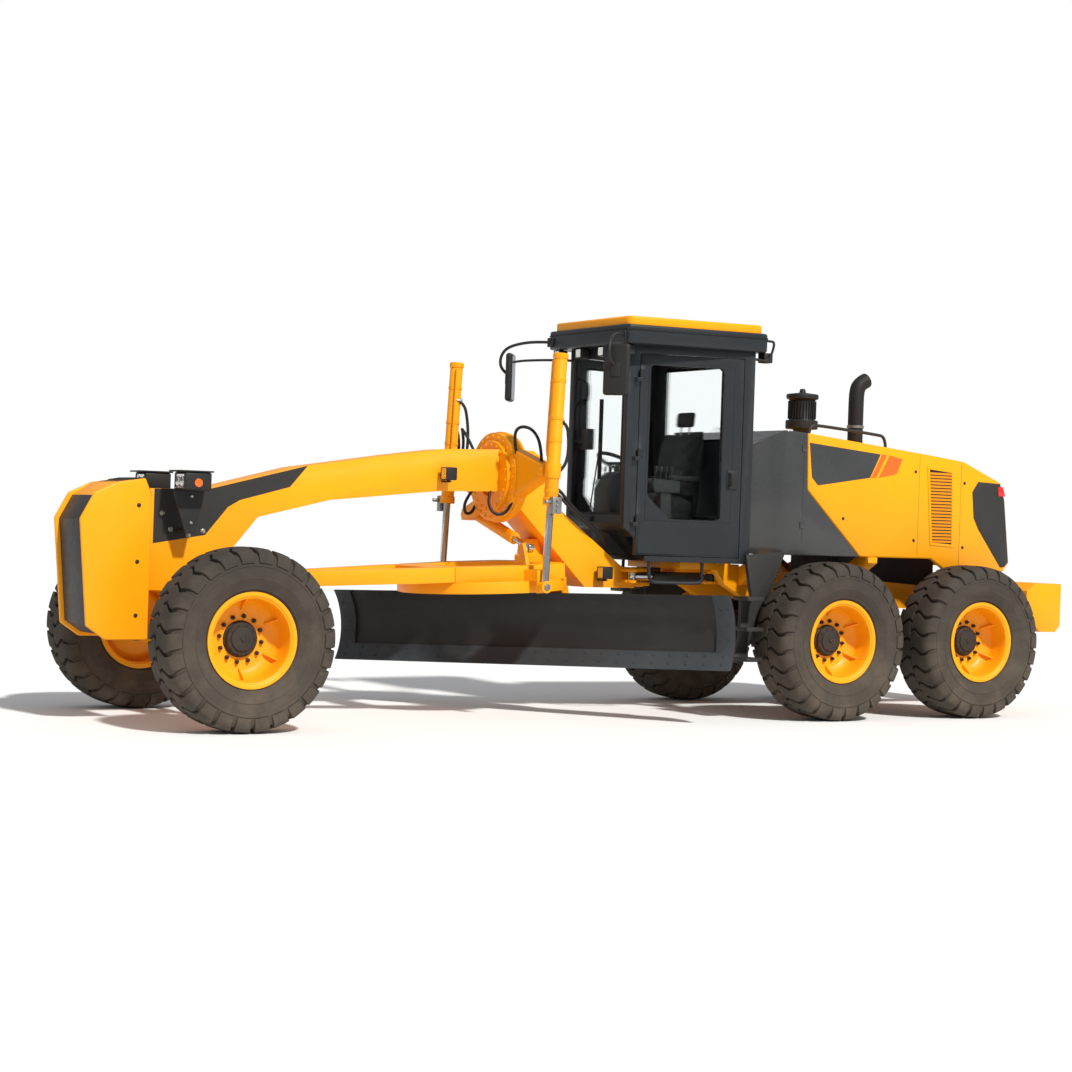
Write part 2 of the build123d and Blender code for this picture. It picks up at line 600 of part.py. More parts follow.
def shift_points():
    """Saddle pin and rod eye of the centre shift cylinder."""
    eye = placed(TILT, (SHIFT_X, *SHIFT_EYE))
    return Vector(SHIFT_X, *SHIFT_PIVOT), Vector(SHIFT_X, eye.Y, eye.Z)


def centre_shift_cylinder():
    pivot, eye = shift_points()
    barrel, rod = cylinder_pair(pivot, eye, -20, 640, 700, 50, 26, 38, 44, (1, 0, 0))
    pin = bar((pivot.X - 40, pivot.Y, pivot.Z), (SADDLE_X - 45 - FLAT_GAP, pivot.Y, pivot.Z), 45)
    return barrel + pin, rod


def tip_cylinder():
    pivot = placed(BLADE_FRAME, (0, *TIP_BARREL_PIVOT))
    eye = placed(BLADE_FRAME, (0, *TIP_EYE))
    across = turned(BLADE_FRAME, (1, 0, 0))
    barrel, rod = cylinder_pair(pivot, eye, -30, 322, 312, 38, 20, 26, 76, across)
    barrel += bar(pivot - across * 39, pivot + across * 39, 30)
    return barrel, rod


def articulation_cylinder():
    gap = ART_PLATES_Z[1][0] - ART_PLATES_Z[0][1] - 2 * FLAT_GAP
    barrel, rod = cylinder_pair(ART_PIVOT, ART_EYE, 90, 640, 605, 42, 24, 34, gap, (0, 0, 1))
    x, y, z = ART_PIVOT
    barrel += bar((x, y, z - gap / 2), (x, y, z + gap / 2), 40)
    barrel += block((x, x + 100), (y - 20, y + 26), (z - 20, z + 20))
    return barrel, rod


# Rear frame and what it carries

def rail_bottom(x):
    """Height of the rails' lower edge over the tandems."""
    return 900 + (x + 4150) * 80 / 2800


def rear_frame():
    tongue_low, tongue_high = HINGE_TONGUE_Z
    tongue = block((-1150, HINGE_X), (-100, 100), (tongue_low, tongue_high))
    tongue += bar((HINGE_X, 0, tongue_low), (HINGE_X, 0, tongue_high), 100)
    pin = bar((HINGE_X, 0, HINGE_LUGS_Z[0][0] - 8), (HINGE_X, 0, HINGE_LUGS_Z[1][1] + 8), HINGE_PIN_RADIUS)
    post = block((-1150, -780), (-120, 120), (tongue_high - 5, 1290))
    cross = block((-1240, -1150), (-FRAME_HALF, FRAME_HALF), (1112, 1290))
    rail = side_shape([(-1000, 1240), (-1100, 1112), (-1350, rail_bottom(-1350)), (-4150, rail_bottom(-4150)),
                       (-4150, 1090), (-1500, 1250), (-1000, CAB_FLOOR_Z)], FRAME_HALF - 90, FRAME_HALF)
    deck = block((-1150, -620), (-FRAME_HALF, FRAME_HALF), (1240, CAB_FLOOR_Z))
    rear_cross = block((-4250, -4150), (-FRAME_HALF, FRAME_HALF), (860, 1100))
    mid_cross = block((-2600, -2420), (-FRAME_HALF, FRAME_HALF), (rail_bottom(-2600), 1060))
    shape = tongue + pin + post + cross + both_sides(rail) + deck + rear_cross + mid_cross
    x, y = ART_PIVOT[0], ART_PIVOT[1]
    for low, high in ART_PLATES_Z:
        plate = block((-1160, x), (y - 50, y + 50), (low, high)) + bar((x, y, low), (x, y, high), 50)
        shape += both_sides(plate)
    for front, top in ((-1240, 1389), (-2350, 1389), (-3600, 1289)):
        bracket = front_shape([(310, 1110), (310, 1220), (640, top), (800, top), (800, top - 50), (420, 1110)],
                              front - 100, front)
        shape += both_sides(bracket)
    return shape


def tandem_cases():
    case = side_shape([(REAR_AXLE_X - 150, 540), (MID_AXLE_X + 150, 540), (MID_AXLE_X + 230, 640),
                       (MID_AXLE_X + 230, 720), (MID_AXLE_X + 150, 800), (TANDEM_X + 300, 860),
                       (TANDEM_X - 300, 860), (REAR_AXLE_X - 150, 800), (REAR_AXLE_X - 230, 720),
                       (REAR_AXLE_X - 230, 640)], 600, 780)
    for x in (MID_AXLE_X, REAR_AXLE_X):
        case += bar((x, 780, TYRE_RADIUS), (x, WHEEL_Y - 112, TYRE_RADIUS), 90)
        case += bar((x, 780, TYRE_RADIUS), (x, WHEEL_Y + 6, TYRE_RADIUS), SPINDLE_RADIUS)
    tube_z = 760
    axle = bar((TANDEM_X, -610, tube_z), (TANDEM_X, 610, tube_z), 130)
    saddle_block = block((TANDEM_X - 110, TANDEM_X + 110), (FRAME_HALF - 90, FRAME_HALF), (tube_z, rail_bottom(TANDEM_X - 110)))
    return both_sides(case + saddle_block) + axle


def engine_block():
    return block((-3550, -2350), (-300, 300), (1060, 2000))


def engine_hood():
    shell = side_shape(HOOD_OUTLINE, -HOOD_HALF, HOOD_HALF)
    inner = [(-1500, 2400), (-3000, 2270), (-3420, 2226), (-3840, 2060), (-3890, 1930), (-3965, 1380), (-3965, 1200),
             (-1500, 1200)]
    return shell - side_shape(inner, -HOOD_HALF + 45, HOOD_HALF - 45)


def hood_shell():
    """Dark panel ahead of the hood, round the tank behind the cab."""
    outline = [(-1135, 1389), (-2252, 1389), (-1651, 1948), (-1636, 2441), (-1425, 2458), (-1310, 2400), (-1135, 2330)]
    plan = plan_shape([(-1130, 640), (-1260, 660), (-1425, HOOD_HALF), (-2300, HOOD_HALF), (-2300, -HOOD_HALF),
                       (-1425, -HOOD_HALF), (-1260, -660), (-1130, -640)], 1300, 2500)
    return side_shape(outline, -HOOD_HALF, HOOD_HALF) & plan


def rear_bumper():
    low, high = BUMPER_Z
    outline = [(REAR_END_X, low + 58), (REAR_END_X, high), (-4360, high), (-4250, 1120), (-4250, 900), (-4432, low),
               (REAR_END_X + 60, low)]
    shape = side_shape(outline, -HOOD_HALF, HOOD_HALF)
    shape -= block((REAR_END_X - 1, TOW_X + 60), (-90, 90), TOW_SLOT_Z)
    shape -= bar((TOW_X, 0, low - 1), (TOW_X, 0, high + 1), TOW_RADIUS)
    for y in (-RIPPER_Y, RIPPER_Y):
        for z in RIPPER_Z:
            shape -= bar((REAR_END_X - 1, y, z), (REAR_END_X + RIPPER_HOLE_DEPTH, y, z), RIPPER_HOLE_RADIUS)
    return shape


def exhaust_stack():
    pipe = bar((-2815, 0, 2300), (-2815, 0, 2860), 75) + bar((-2815, 0, 2860), (-2900, 0, 3000), 70)
    return pipe - side_shape(HOOD_OUTLINE, -HOOD_HALF, HOOD_HALF)


def air_precleaner():
    shape = bar((-2190, 0, 2350), (-2190, 0, 2560), 70)
    shape += bar((-2190, 0, 2560), (-2190, 0, 2760), 140)
    shape += bar((-2190, 0, 2760), (-2190, 0, 2850), 175)
    return shape - side_shape(HOOD_OUTLINE, -HOOD_HALF, HOOD_HALF)


# Cab

def cab_half_at(x):
    """Half width of the cab, which tapers towards the windscreen."""
    share = (x - CAB_REAR_X) / (CAB_FRONT_X - CAB_REAR_X)
    return CAB_REAR_HALF + (CAB_FRONT_HALF - CAB_REAR_HALF) * share


def cab_plan(inset):
    front, rear = CAB_FRONT_X - inset, CAB_REAR_X + inset
    return [(front, cab_half_at(front) - inset), (rear, cab_half_at(rear) - inset),
            (rear, inset - cab_half_at(rear)), (front, inset - cab_half_at(front))]


DOOR_FRONT_X = -90
DOOR_REAR_X = -1000
DOOR_LOW_Z = 1345
DOOR_TOP_Z = 3040
DOOR_THICK = 40
DOOR_HINGES_Z = [1650, 2200, 2860]
DOOR_HINGE_OUT = 25
DOOR_PIN_RADIUS = 9


def door_axis():
    """Plan position of the left door's hinge line."""
    return DOOR_FRONT_X, cab_half_at(DOOR_FRONT_X) + DOOR_HINGE_OUT


def cab_body():
    outer = plan_shape(cab_plan(0), CAB_FLOOR_Z, CAB_EAVE_Z)
    room = plan_shape(cab_plan(CAB_WALL), CAB_FLOOR_Z + CAB_WALL, CAB_EAVE_Z + 10)
    shape = outer - room
    chamfer = side_shape([(CAB_FRONT_X + 10, 1590), (CAB_FRONT_X + 10, 1290), (-330, 1290)], -500, 500)
    inner_chamfer = side_shape([(CAB_FRONT_X, 1660), (CAB_FRONT_X, 1590), (-310, 1300), (-380, 1300), (-380, 1345),
                                (-350, 1345)], -cab_half_at(0) + 1, cab_half_at(0) - 1)
    shape = shape + inner_chamfer - chamfer
    windscreen = block((CAB_FRONT_X - 120, CAB_FRONT_X + 20), (-CAB_FRONT_HALF + 60, CAB_FRONT_HALF - 60), (1680, 3030))
    rear_window = block((CAB_REAR_X - 20, CAB_REAR_X + 60), (-560, 560), (2350, 3000))
    shape = shape - windscreen - rear_window
    for side in (-1, 1):
        opening = plan_shape([(DOOR_FRONT_X, side * 300), (DOOR_REAR_X, side * 300), (DOOR_REAR_X, side * 900),
                              (DOOR_FRONT_X, side * 900)], DOOR_LOW_Z, DOOR_TOP_Z)
        shape -= opening
    x, y = door_axis()
    for z in DOOR_HINGES_Z:
        lug = block((x, x + 45), (y - 45, y + 14), (z - 60, z - 25)) + bar((x, y, z - 60), (x, y, z - 25), 16)
        shape += both_sides(lug + bar((x, y, z - 30), (x, y, z + 45), DOOR_PIN_RADIUS))
    return shape


def cab_side_panel(front, rear, low, high, inner, outer):
    """Left panel that follows the cab's taper, between two offsets from its outside."""
    points = [(front, cab_half_at(front) - outer), (rear, cab_half_at(rear) - outer),
              (rear, cab_half_at(rear) - inner), (front, cab_half_at(front) - inner)]
    return plan_shape(points, low, high)


def door():
    gap = 6
    front, rear = DOOR_FRONT_X - gap, DOOR_REAR_X + gap
    low, high = DOOR_LOW_Z + gap, DOOR_TOP_Z - gap
    panel = cab_side_panel(front, rear, low, high, DOOR_THICK, 0)
    window = cab_side_panel(front - 70, rear + 80, CAB_SILL_Z + 40, high - 70, DOOR_THICK + 20, -20)
    panel -= window
    x, y = door_axis()
    for z in DOOR_HINGES_Z:
        knuckle = bar((x, y, z - 25 + FLAT_GAP), (x, y, z + 40), 16)
        knuckle += block((x - 50, x), (y - 24, y - 6), (z - 25 + FLAT_GAP, z + 40))
        panel += knuckle - bar((x, y, z - 40), (x, y, z + 50), DOOR_PIN_RADIUS + PIN_PLAY)
    return panel


def door_glass():
    gap = 6
    front, rear = DOOR_FRONT_X - gap - 70 - FLAT_GAP, DOOR_REAR_X + gap + 80 + FLAT_GAP
    low, high = CAB_SILL_Z + 40 + FLAT_GAP, DOOR_TOP_Z - gap - 70 - FLAT_GAP
    return cab_side_panel(front, rear, low, high, 24, 18)


def cab_glass():
    front = block((CAB_FRONT_X - 26, CAB_FRONT_X - 20),
                  (-CAB_FRONT_HALF + 60 + FLAT_GAP, CAB_FRONT_HALF - 60 - FLAT_GAP), (1680 + FLAT_GAP, 3030 - FLAT_GAP))
    rear = block((CAB_REAR_X + 20, CAB_REAR_X + 26), (-560 + FLAT_GAP, 560 - FLAT_GAP), (2350 + FLAT_GAP, 3000 - FLAT_GAP))
    return front + rear


def cab_roof():
    eave = plan_shape([(150, 620), (-1200, 800), (-1200, -800), (150, -620)], CAB_EAVE_Z + FLAT_GAP, 3220)
    cap = loft([
        make_face(Polyline((90, 530, 3220), (-1150, 720, 3220), (-1150, -720, 3220), (90, -530, 3220), close=True)),
        make_face(Polyline((40, 470, 3335), (-1090, 650, 3335), (-1090, -650, 3335), (40, -470, 3335), close=True)),
    ])
    return eave + cap


def operator_seat():
    base = block((SEAT_X - 170, SEAT_X + 150), (-170, 170), (CAB_FLOOR_Z + CAB_WALL + FLAT_GAP, 1700))
    cushion = block((SEAT_X - 240, SEAT_X + 240), (-250, 250), (1700, 1820))
    back = side_shape([(SEAT_X - 230, 1820), (SEAT_X - 120, 1820), (SEAT_X - 210, 2450), (SEAT_X - 310, 2450)], -240, 240)
    head = side_shape([(SEAT_X - 310, 2450), (SEAT_X - 230, 2450), (SEAT_X - 250, 2620), (SEAT_X - 320, 2620)], -130, 130)
    return base + cushion + back + head


def control_console():
    floor = CAB_FLOOR_Z + CAB_WALL + FLAT_GAP
    foot = side_shape([(-470, floor), (-390, floor), (-330, 1640), (-180, 2040), (-250, 2060), (-400, 1660)], -90, 90)
    wheel_frame = Pos(-225, 0, 2125) * Rot(0, -25, 0)
    wheel = wheel_frame * (Torus(190, 16) + Box(20, 370, 20))
    column = bar((-215, 0, 2040), (-225, 0, 2120), 30)
    return foot + wheel + column


def access_steps():
    """Dark front fender plate with three steps ahead of it, left and right."""
    side = side_shape([(-985, 1382), (-1062, 1004), (-880, 482), (-944, 465), (-1150, 836), (-1402, 1416)],
                      HOOD_HALF + FLAT_GAP, 840)
    for z in (490, 745, 1000):
        side += block((-1040, -872), (838, 1040), (z, z + 32))
    side += block((-1040, -950), (HOOD_HALF + FLAT_GAP, 840), (490, 1032))
    return both_sides(side)


def mirrors():
    mirror_body = block((370, 410), (750, 930), (2650, 3060))
    foot = block((150 + FLAT_GAP, 180), (550, 610), (3125, 3175))
    arm = bar((172, 590, 3150), (390, 800, 3150), 14) + bar((390, 800, 3158), (390, 840, 3050), 14)
    return both_sides(mirror_body + foot + arm)


def build():
    """Every node's name and its shape."""
    nodes = {
        "nose_cover": nose_cover(), "front_frame": front_frame(), "saddle": saddle(), "headlamps": headlamps(),
        "front_axle": front_axle(), "steering_rod": steering_rod(), "lean_bar": lean_bar(), "drawbar": drawbar(),
        "circle": circle(), "blade_carrier": blade_carrier(), "moldboard": moldboard(), "cutting_edge": cutting_edge(),
        "rear_frame": rear_frame(), "tandem_cases": tandem_cases(), "engine_block": engine_block(),
        "engine_hood": engine_hood(), "hood_shell": hood_shell(), "rear_bumper": rear_bumper(),
        "exhaust_stack": exhaust_stack(), "air_precleaner": air_precleaner(), "cab_body": cab_body(),
        "cab_glass": cab_glass(), "cab_roof": cab_roof(), "operator_seat": operator_seat(),
        "control_console": control_console(), "access_steps": access_steps(), "mirrors": mirrors(),
    }
    tyre_shape, rim_shape = tyre(), rim()
    for name, (axle_x, side) in WHEELS.items():
        nodes[f"tyre_{name}"] = at_wheel(tyre_shape, axle_x, side)
        nodes[f"rim_{name}"] = at_wheel(rim_shape, axle_x, side)
    pairs = {"lean_yoke": lean_yoke(), "steering_knuckle": steering_knuckle(), "door": door(), "door_glass": door_glass()}
    barrel, rod = articulation_cylinder()
    pairs["articulation_barrel"] = barrel
    pairs["articulation_rod"] = rod
    for name, shape in pairs.items():
        nodes[f"{name}_left"] = shape
        nodes[f"{name}_right"] = mirrored(shape)
    nodes["lift_barrels"], nodes["lift_rods"] = lift_cylinders()
    nodes["centre_shift_barrel"], nodes["centre_shift_rod"] = centre_shift_cylinder()
    nodes["blade_tip_barrel"], nodes["blade_tip_rod"] = tip_cylinder()
    return nodes


def main():
    os.makedirs("parts", exist_ok=True)
    for name, shape in build().items():
        export_step(shape, f"parts/{name}.step")


if __name__ == "__main__":
    main()
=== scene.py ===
import json
import math

import bpy
from mathutils import Matrix, Vector


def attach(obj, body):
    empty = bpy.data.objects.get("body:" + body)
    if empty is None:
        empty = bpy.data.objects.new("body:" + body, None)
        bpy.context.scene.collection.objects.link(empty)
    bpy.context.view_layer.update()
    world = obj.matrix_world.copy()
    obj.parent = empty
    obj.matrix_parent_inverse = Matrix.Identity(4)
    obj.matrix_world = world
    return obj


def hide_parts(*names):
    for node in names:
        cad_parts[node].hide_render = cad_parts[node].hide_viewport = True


bl_info = {
    "name": "Motor grader looks", "version": (1, 0, 0), "blender": (4, 5, 0),
    "location": "View3D > Sidebar > Grader",
    "description": "Dresses the motor grader: paint, tyres, cab fittings, lamps, hoses and stage",
    "category": "Object"}

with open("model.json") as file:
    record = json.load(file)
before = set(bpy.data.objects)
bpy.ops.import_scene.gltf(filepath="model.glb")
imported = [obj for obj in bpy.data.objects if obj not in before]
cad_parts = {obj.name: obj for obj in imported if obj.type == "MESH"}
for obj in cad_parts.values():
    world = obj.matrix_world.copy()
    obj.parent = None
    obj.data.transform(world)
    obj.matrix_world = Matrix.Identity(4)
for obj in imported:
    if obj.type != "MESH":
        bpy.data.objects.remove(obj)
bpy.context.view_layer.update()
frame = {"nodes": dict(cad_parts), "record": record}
BODIES = frame["record"]["behaviour"]["bodies"]
BODY_OF = {node: body for body, nodes in BODIES.items() for node in nodes}

# Layout shared with the solids, in metres and degrees
FRONT_AXLE_X = 3.71
MID_AXLE_X = -1.73
REAR_AXLE_X = -3.29
WHEEL_Y = 1.07
TYRE_RADIUS = 0.672
CAB_TAPER = 0.29 / 1.10
CAB_REAR_X = -1.09
CAB_REAR_HALF = 0.74
HOOD_SKIN = 0.799
STACK_X = -2.815
CLEANER_X = -2.190
LEVER_Y = 0.395
LIFT_Y = 0.84
TRUNNION = (0.965, LIFT_Y, 2.010)
BALL = (3.4, 0, 1.12)
DRAWBAR_PITCH = 3.0
RING_X = 1.1
BLADE_ANGLE = 57
BLADE_ENDS = (-2.044, 1.616)
NOSE_HALF = 0.290
NECK_HALF = 0.160
DRUM_CENTRE = (0.965, 0, 1.960)
LIFT_EYE = (1.0046, LIFT_Y, 1.0803)
CAB_FLOOR = 1.3405
WHEELS = {
    "front_left": (FRONT_AXLE_X, 1), "front_right": (FRONT_AXLE_X, -1), "mid_left": (MID_AXLE_X, 1),
    "mid_right": (MID_AXLE_X, -1), "rear_left": (REAR_AXLE_X, 1), "rear_right": (REAR_AXLE_X, -1)}

# The camera, fitted to the photograph's view
CAMERA_PLACE = (10.4387, 15.9977, 1.5549)
CAMERA_YAW = 31.631
CAMERA_PITCH = -0.225
CAMERA_ROLL = 1.9225
CAMERA_LENS = 75.27

# Light
SUN_STRENGTH = 3.9
SUN_FROM = (-0.05, 0.72, 0.72)
SKY_STRENGTH = 0.45


class GraderSizes(bpy.types.PropertyGroup):
    """Sizes of the dressing."""
    lug_depth: bpy.props.FloatProperty(
        name="Lug depth", description="Height of the tread blocks", default=0.03, unit="LENGTH")
    lug_count: bpy.props.IntProperty(
        name="Lugs a side", description="Tread blocks on each half of a tyre", default=26)
    pad_pressure: bpy.props.FloatProperty(
        name="Pad pressure", description="Pressure that fills the seat pads", default=4.0)


class GraderColours(bpy.types.PropertyGroup):
    """Colours of the finishes."""
    yellow: bpy.props.FloatVectorProperty(
        name="Machine yellow", description="Paint of the frame, hood and rims", subtype="COLOR", size=3,
        default=(0.95, 0.36, 0.0))
    charcoal: bpy.props.FloatVectorProperty(
        name="Charcoal", description="Paint of the panels and the fenders", subtype="COLOR", size=3,
        default=(0.026, 0.026, 0.025))
    cab: bpy.props.FloatVectorProperty(
        name="Cab grey", description="Paint of the cab", subtype="COLOR", size=3,
        default=(0.015, 0.020, 0.024))
    stripe: bpy.props.FloatVectorProperty(
        name="Stripe", description="Slanted stripes on the hood", subtype="COLOR", size=3,
        default=(0.80, 0.13, 0.01))
    rubber: bpy.props.FloatVectorProperty(
        name="Tyre rubber", description="Tyre rubber under its dust", subtype="COLOR", size=3,
        default=(0.028, 0.025, 0.022))
    dust: bpy.props.FloatVectorProperty(
        name="Dust", description="Dry dust on low surfaces", subtype="COLOR", size=3,
        default=(0.20, 0.155, 0.11))


# Selecting and finishing

def pick(piece):
    bpy.ops.object.select_all(action="DESELECT")
    piece.select_set(True)
    bpy.context.view_layer.objects.active = piece


def new_piece(name):
    """The primitive that was just added, named and with its place in its mesh."""
    piece = bpy.context.active_object
    piece.name = name
    piece.data.name = name
    pick(piece)
    bpy.ops.object.transform_apply(location=True, rotation=True, scale=True)
    return piece


def recalculate(piece):
    pick(piece)
    bpy.ops.object.mode_set(mode="EDIT")
    bpy.ops.mesh.select_all(action="SELECT")
    bpy.ops.mesh.remove_doubles(threshold=0.00005)
    bpy.ops.mesh.normals_make_consistent(inside=False)
    bpy.ops.object.mode_set(mode="OBJECT")


def apply_modifiers(piece):
    pick(piece)
    for modifier in list(piece.modifiers):
        bpy.ops.object.modifier_apply(modifier=modifier.name)


def rounded(piece, width, segments=2, angle=30):
    """Rounds the sharp edges."""
    if width <= 0:
        return piece
    bevel = piece.modifiers.new("Edges", "BEVEL")
    bevel.width = width
    bevel.segments = segments
    bevel.limit_method = "ANGLE"
    bevel.angle_limit = math.radians(angle)
    bevel.use_clamp_overlap = True
    apply_modifiers(piece)
    return piece


def smooth(piece, angle=32):
    pick(piece)
    bpy.ops.object.shade_smooth_by_angle(angle=math.radians(angle))
    return piece


def paint(piece, finish):
    piece.data.materials.clear()
    piece.data.materials.append(bpy.data.materials["look_" + finish])
    return piece


def fit(piece, body):
    """The finished piece is smoothed and rides on its body."""
    smooth(piece)
    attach(piece, body)
    return piece


def joined(name, pieces):
    bpy.ops.object.select_all(action="DESELECT")
    for piece in pieces:
        piece.select_set(True)
    bpy.context.view_layer.objects.active = pieces[0]
    bpy.ops.object.join()
    pieces[0].name = name
    pieces[0].data.name = name
    return pieces[0]


def copied(piece, name, matrix):
    """A copy with its own mesh, moved by the matrix."""
    pick(piece)
    bpy.ops.object.duplicate()
    copy = bpy.context.active_object
    copy.name = name
    copy.data.name = name
    copy.data.transform(matrix)
    if matrix.determinant() < 0:
        copy.data.flip_normals()
    return copy


MIRROR = Matrix.Scale(-1, 4, (0, 1, 0))


def both_sides(piece, name):
    """The piece and its mirror image, as one."""
    return joined(name, [piece, copied(piece, name + "_right", MIRROR)])


def add(parts, finish, *pieces):
    """Paints the pieces and puts them with the others."""
    for piece in pieces:
        parts.append(paint(piece, finish))


def group(name, parts, body, slot):
    """The parts as one piece on a body."""
    return fit(joined(name, parts), body)


def pair(name, parts, body, slot):
    """The parts and their mirror image as one piece on a body."""
    return fit(both_sides(joined(name, parts), name), body)


# Plain shapes

def block(name, low, high, edge=0.0, segments=2):
    low, high = Vector(low), Vector(high)
    bpy.ops.mesh.primitive_cube_add(size=1, location=(low + high) / 2, scale=high - low)
    return rounded(new_piece(name), edge, segments)


def rod(name, start, end, radius, edge=0.0, sides=32, tip=None):
    """A round bar between two points, tapered where a tip radius is given."""
    start, end = Vector(start), Vector(end)
    run = end - start
    turn = run.to_track_quat("Z", "Y").to_euler()
    bpy.ops.mesh.primitive_cone_add(
        vertices=sides, radius1=radius, radius2=radius if tip is None else tip, depth=run.length,
        location=(start + end) / 2, rotation=turn)
    return rounded(new_piece(name), edge)


def moved(piece, matrix):
    piece.data.transform(matrix)
    return piece


def onto(axis):
    """Turns a piece made about the Y axis onto another one."""
    if axis == "X":
        return Matrix.Rotation(-math.pi / 2, 4, "Z")
    if axis == "Z":
        return Matrix.Rotation(math.pi / 2, 4, "X")
    return Matrix.Identity(4)


def spun(name, profile, steps, centre, axis="Y"):
    """A turned piece: its profile's second value runs along the axis."""
    return moved(lathe(name, profile, steps), Matrix.Translation(centre) @ onto(axis))


def bolt_ring(name, centre, axis, circle, count, radius, height, start=0.0):
    """Hexagon heads on a circle about an axis."""
    heads = []
    for place in range(count):
        angle = start + math.tau * place / count
        foot = Vector((circle * math.cos(angle), 0, circle * math.sin(angle)))
        heads.append(rod(name, foot, foot + Vector((0, height, 0)), radius, radius * 0.12, 6))
    return moved(joined(name, heads), Matrix.Translation(centre) @ onto(axis))


def cut(piece, tool, operation="DIFFERENCE"):
    """Takes the tool's shape out of the piece, or keeps only what they share."""
    boolean = piece.modifiers.new("Cut", "BOOLEAN")
    boolean.operation = operation
    boolean.object = tool
    boolean.solver = "EXACT"
    apply_modifiers(piece)
    bpy.data.objects.remove(tool)
    return piece


def frame_of(name, axis, outer, inner, low, high, edge=0.0):
    """A flat rim between two outlines."""
    return rounded(cut(
        outline(name, axis, outer, low, high), outline(name, axis, inner, low - 0.01, high + 0.01)), edge)


def on_axis(axis, along, u, v):
    """A point of an outline drawn across X, Y or Z."""
    if axis == "X":
        return Vector((along, u, v))
    if axis == "Y":
        return Vector((u, along, v))
    return Vector((u, v, along))


def outline(name, axis, points, low, high, edge=0.0, segments=2):
    """A flat outline drawn out along the axis."""
    bpy.ops.mesh.primitive_circle_add(vertices=len(points), fill_type="NGON")
    piece = new_piece(name)
    for vertex, (u, v) in zip(piece.data.vertices, points):
        vertex.co = on_axis(axis, low, u, v)
    bpy.ops.object.mode_set(mode="EDIT")
    bpy.ops.mesh.select_all(action="SELECT")
    bpy.ops.mesh.extrude_region_move(TRANSFORM_OT_translate={"value": on_axis(axis, high - low, 0, 0)})
    bpy.ops.object.mode_set(mode="OBJECT")
    recalculate(piece)
    return rounded(piece, edge, segments)


def lathe(name, profile, steps, closed=True):
    """A profile of (radius, y) points spun about the Y axis."""
    bpy.ops.mesh.primitive_circle_add(vertices=len(profile), fill_type="NOTHING")
    piece = new_piece(name)
    for vertex, (radius, y) in zip(piece.data.vertices, profile):
        vertex.co = (radius, y, 0)
    bpy.ops.object.mode_set(mode="EDIT")
    bpy.ops.mesh.select_all(action="SELECT")
    bpy.ops.mesh.spin(steps=steps, angle=math.tau, center=(0, 0, 0), axis=(0, 1, 0))
    bpy.ops.object.mode_set(mode="OBJECT")
    recalculate(piece)
    return piece


def flow(name, points, radius, sides):
    """A curve of one open spline with the points as its control points."""
    bpy.ops.curve.primitive_nurbs_path_add()
    piece = bpy.context.active_object
    piece.name = name
    curve = piece.data
    curve.name = name
    curve.splines.clear()
    spline = curve.splines.new("NURBS")
    spline.points.add(len(points) - 1)
    for point, place in zip(spline.points, points):
        point.co = (*place, 1)
    spline.order_u = 3
    spline.use_endpoint_u = True
    spline.resolution_u = 8
    curve.dimensions = "3D"
    curve.bevel_depth = radius
    curve.bevel_resolution = sides
    curve.use_fill_caps = True
    return piece


def pipe(name, points, radius, sides=3):
    """A bent rigid tube or bar."""
    pick(flow(name, points, radius, sides))
    bpy.ops.object.convert(target="MESH")
    return new_piece(name)


def hose(name, points, radius, body):
    """A hydraulic hose that goes back into the machine at both ends."""
    piece = flow(name, points, radius, 3)
    piece.data.materials.append(bpy.data.materials["look_hose_rubber"])
    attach(piece, body)
    return piece


def dressed(node, finish, edge, angle=28, segments=2):
    """A copy of a solid with rounded edges and a finish, which stands for the solid."""
    source = frame["nodes"][node]
    piece = bpy.data.objects.new(node + "_dressed", source.data.copy())
    bpy.context.scene.collection.objects.link(piece)
    pick(piece)
    bpy.ops.object.mode_set(mode="EDIT")
    bpy.ops.mesh.select_all(action="SELECT")
    bpy.ops.mesh.remove_doubles(threshold=0.00002)
    bpy.ops.mesh.dissolve_limited(angle_limit=math.radians(0.6))
    bpy.ops.object.mode_set(mode="OBJECT")
    rounded(piece, edge, segments, angle)
    paint(piece, finish)
    fit(piece, BODY_OF[node])
    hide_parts(node)
    return piece


# Finishes

def socket(tree, name, kind, default=None, way="INPUT"):
    made = tree.interface.new_socket(name=name, in_out=way, socket_type=kind)
    if default is not None:
        made.default_value = default
    return made


def node(tree, kind, **values):
    made = tree.nodes.new(kind)
    for name, value in values.items():
        setattr(made, name, value)
    return made


def put(tree, target, value):
    """Links an output, or sets a plain value, on an input."""
    if isinstance(value, bpy.types.NodeSocket):
        tree.links.new(value, target)
    else:
        target.default_value = value


def maths(tree, operation, first, second=0.0, clamp=False):
    made = node(tree, "ShaderNodeMath", operation=operation, use_clamp=clamp)
    put(tree, made.inputs[0], first)
    put(tree, made.inputs[1], second)
    return made.outputs[0]


def noise(tree, vector, scale, detail=3.0, rough=0.5):
    made = node(tree, "ShaderNodeTexNoise")
    put(tree, made.inputs["Vector"], vector)
    made.inputs["Scale"].default_value = scale
    made.inputs["Detail"].default_value = detail
    made.inputs["Roughness"].default_value = rough
    return made.outputs["Fac"]


def spread(tree, value, low, high, to_low=0.0, to_high=1.0):
    """Stretches a range of values over another one."""
    made = node(tree, "ShaderNodeMapRange", clamp=True)
    for place, item in enumerate((value, low, high, to_low, to_high)):
        put(tree, made.inputs[place], item)
    return made.outputs[0]


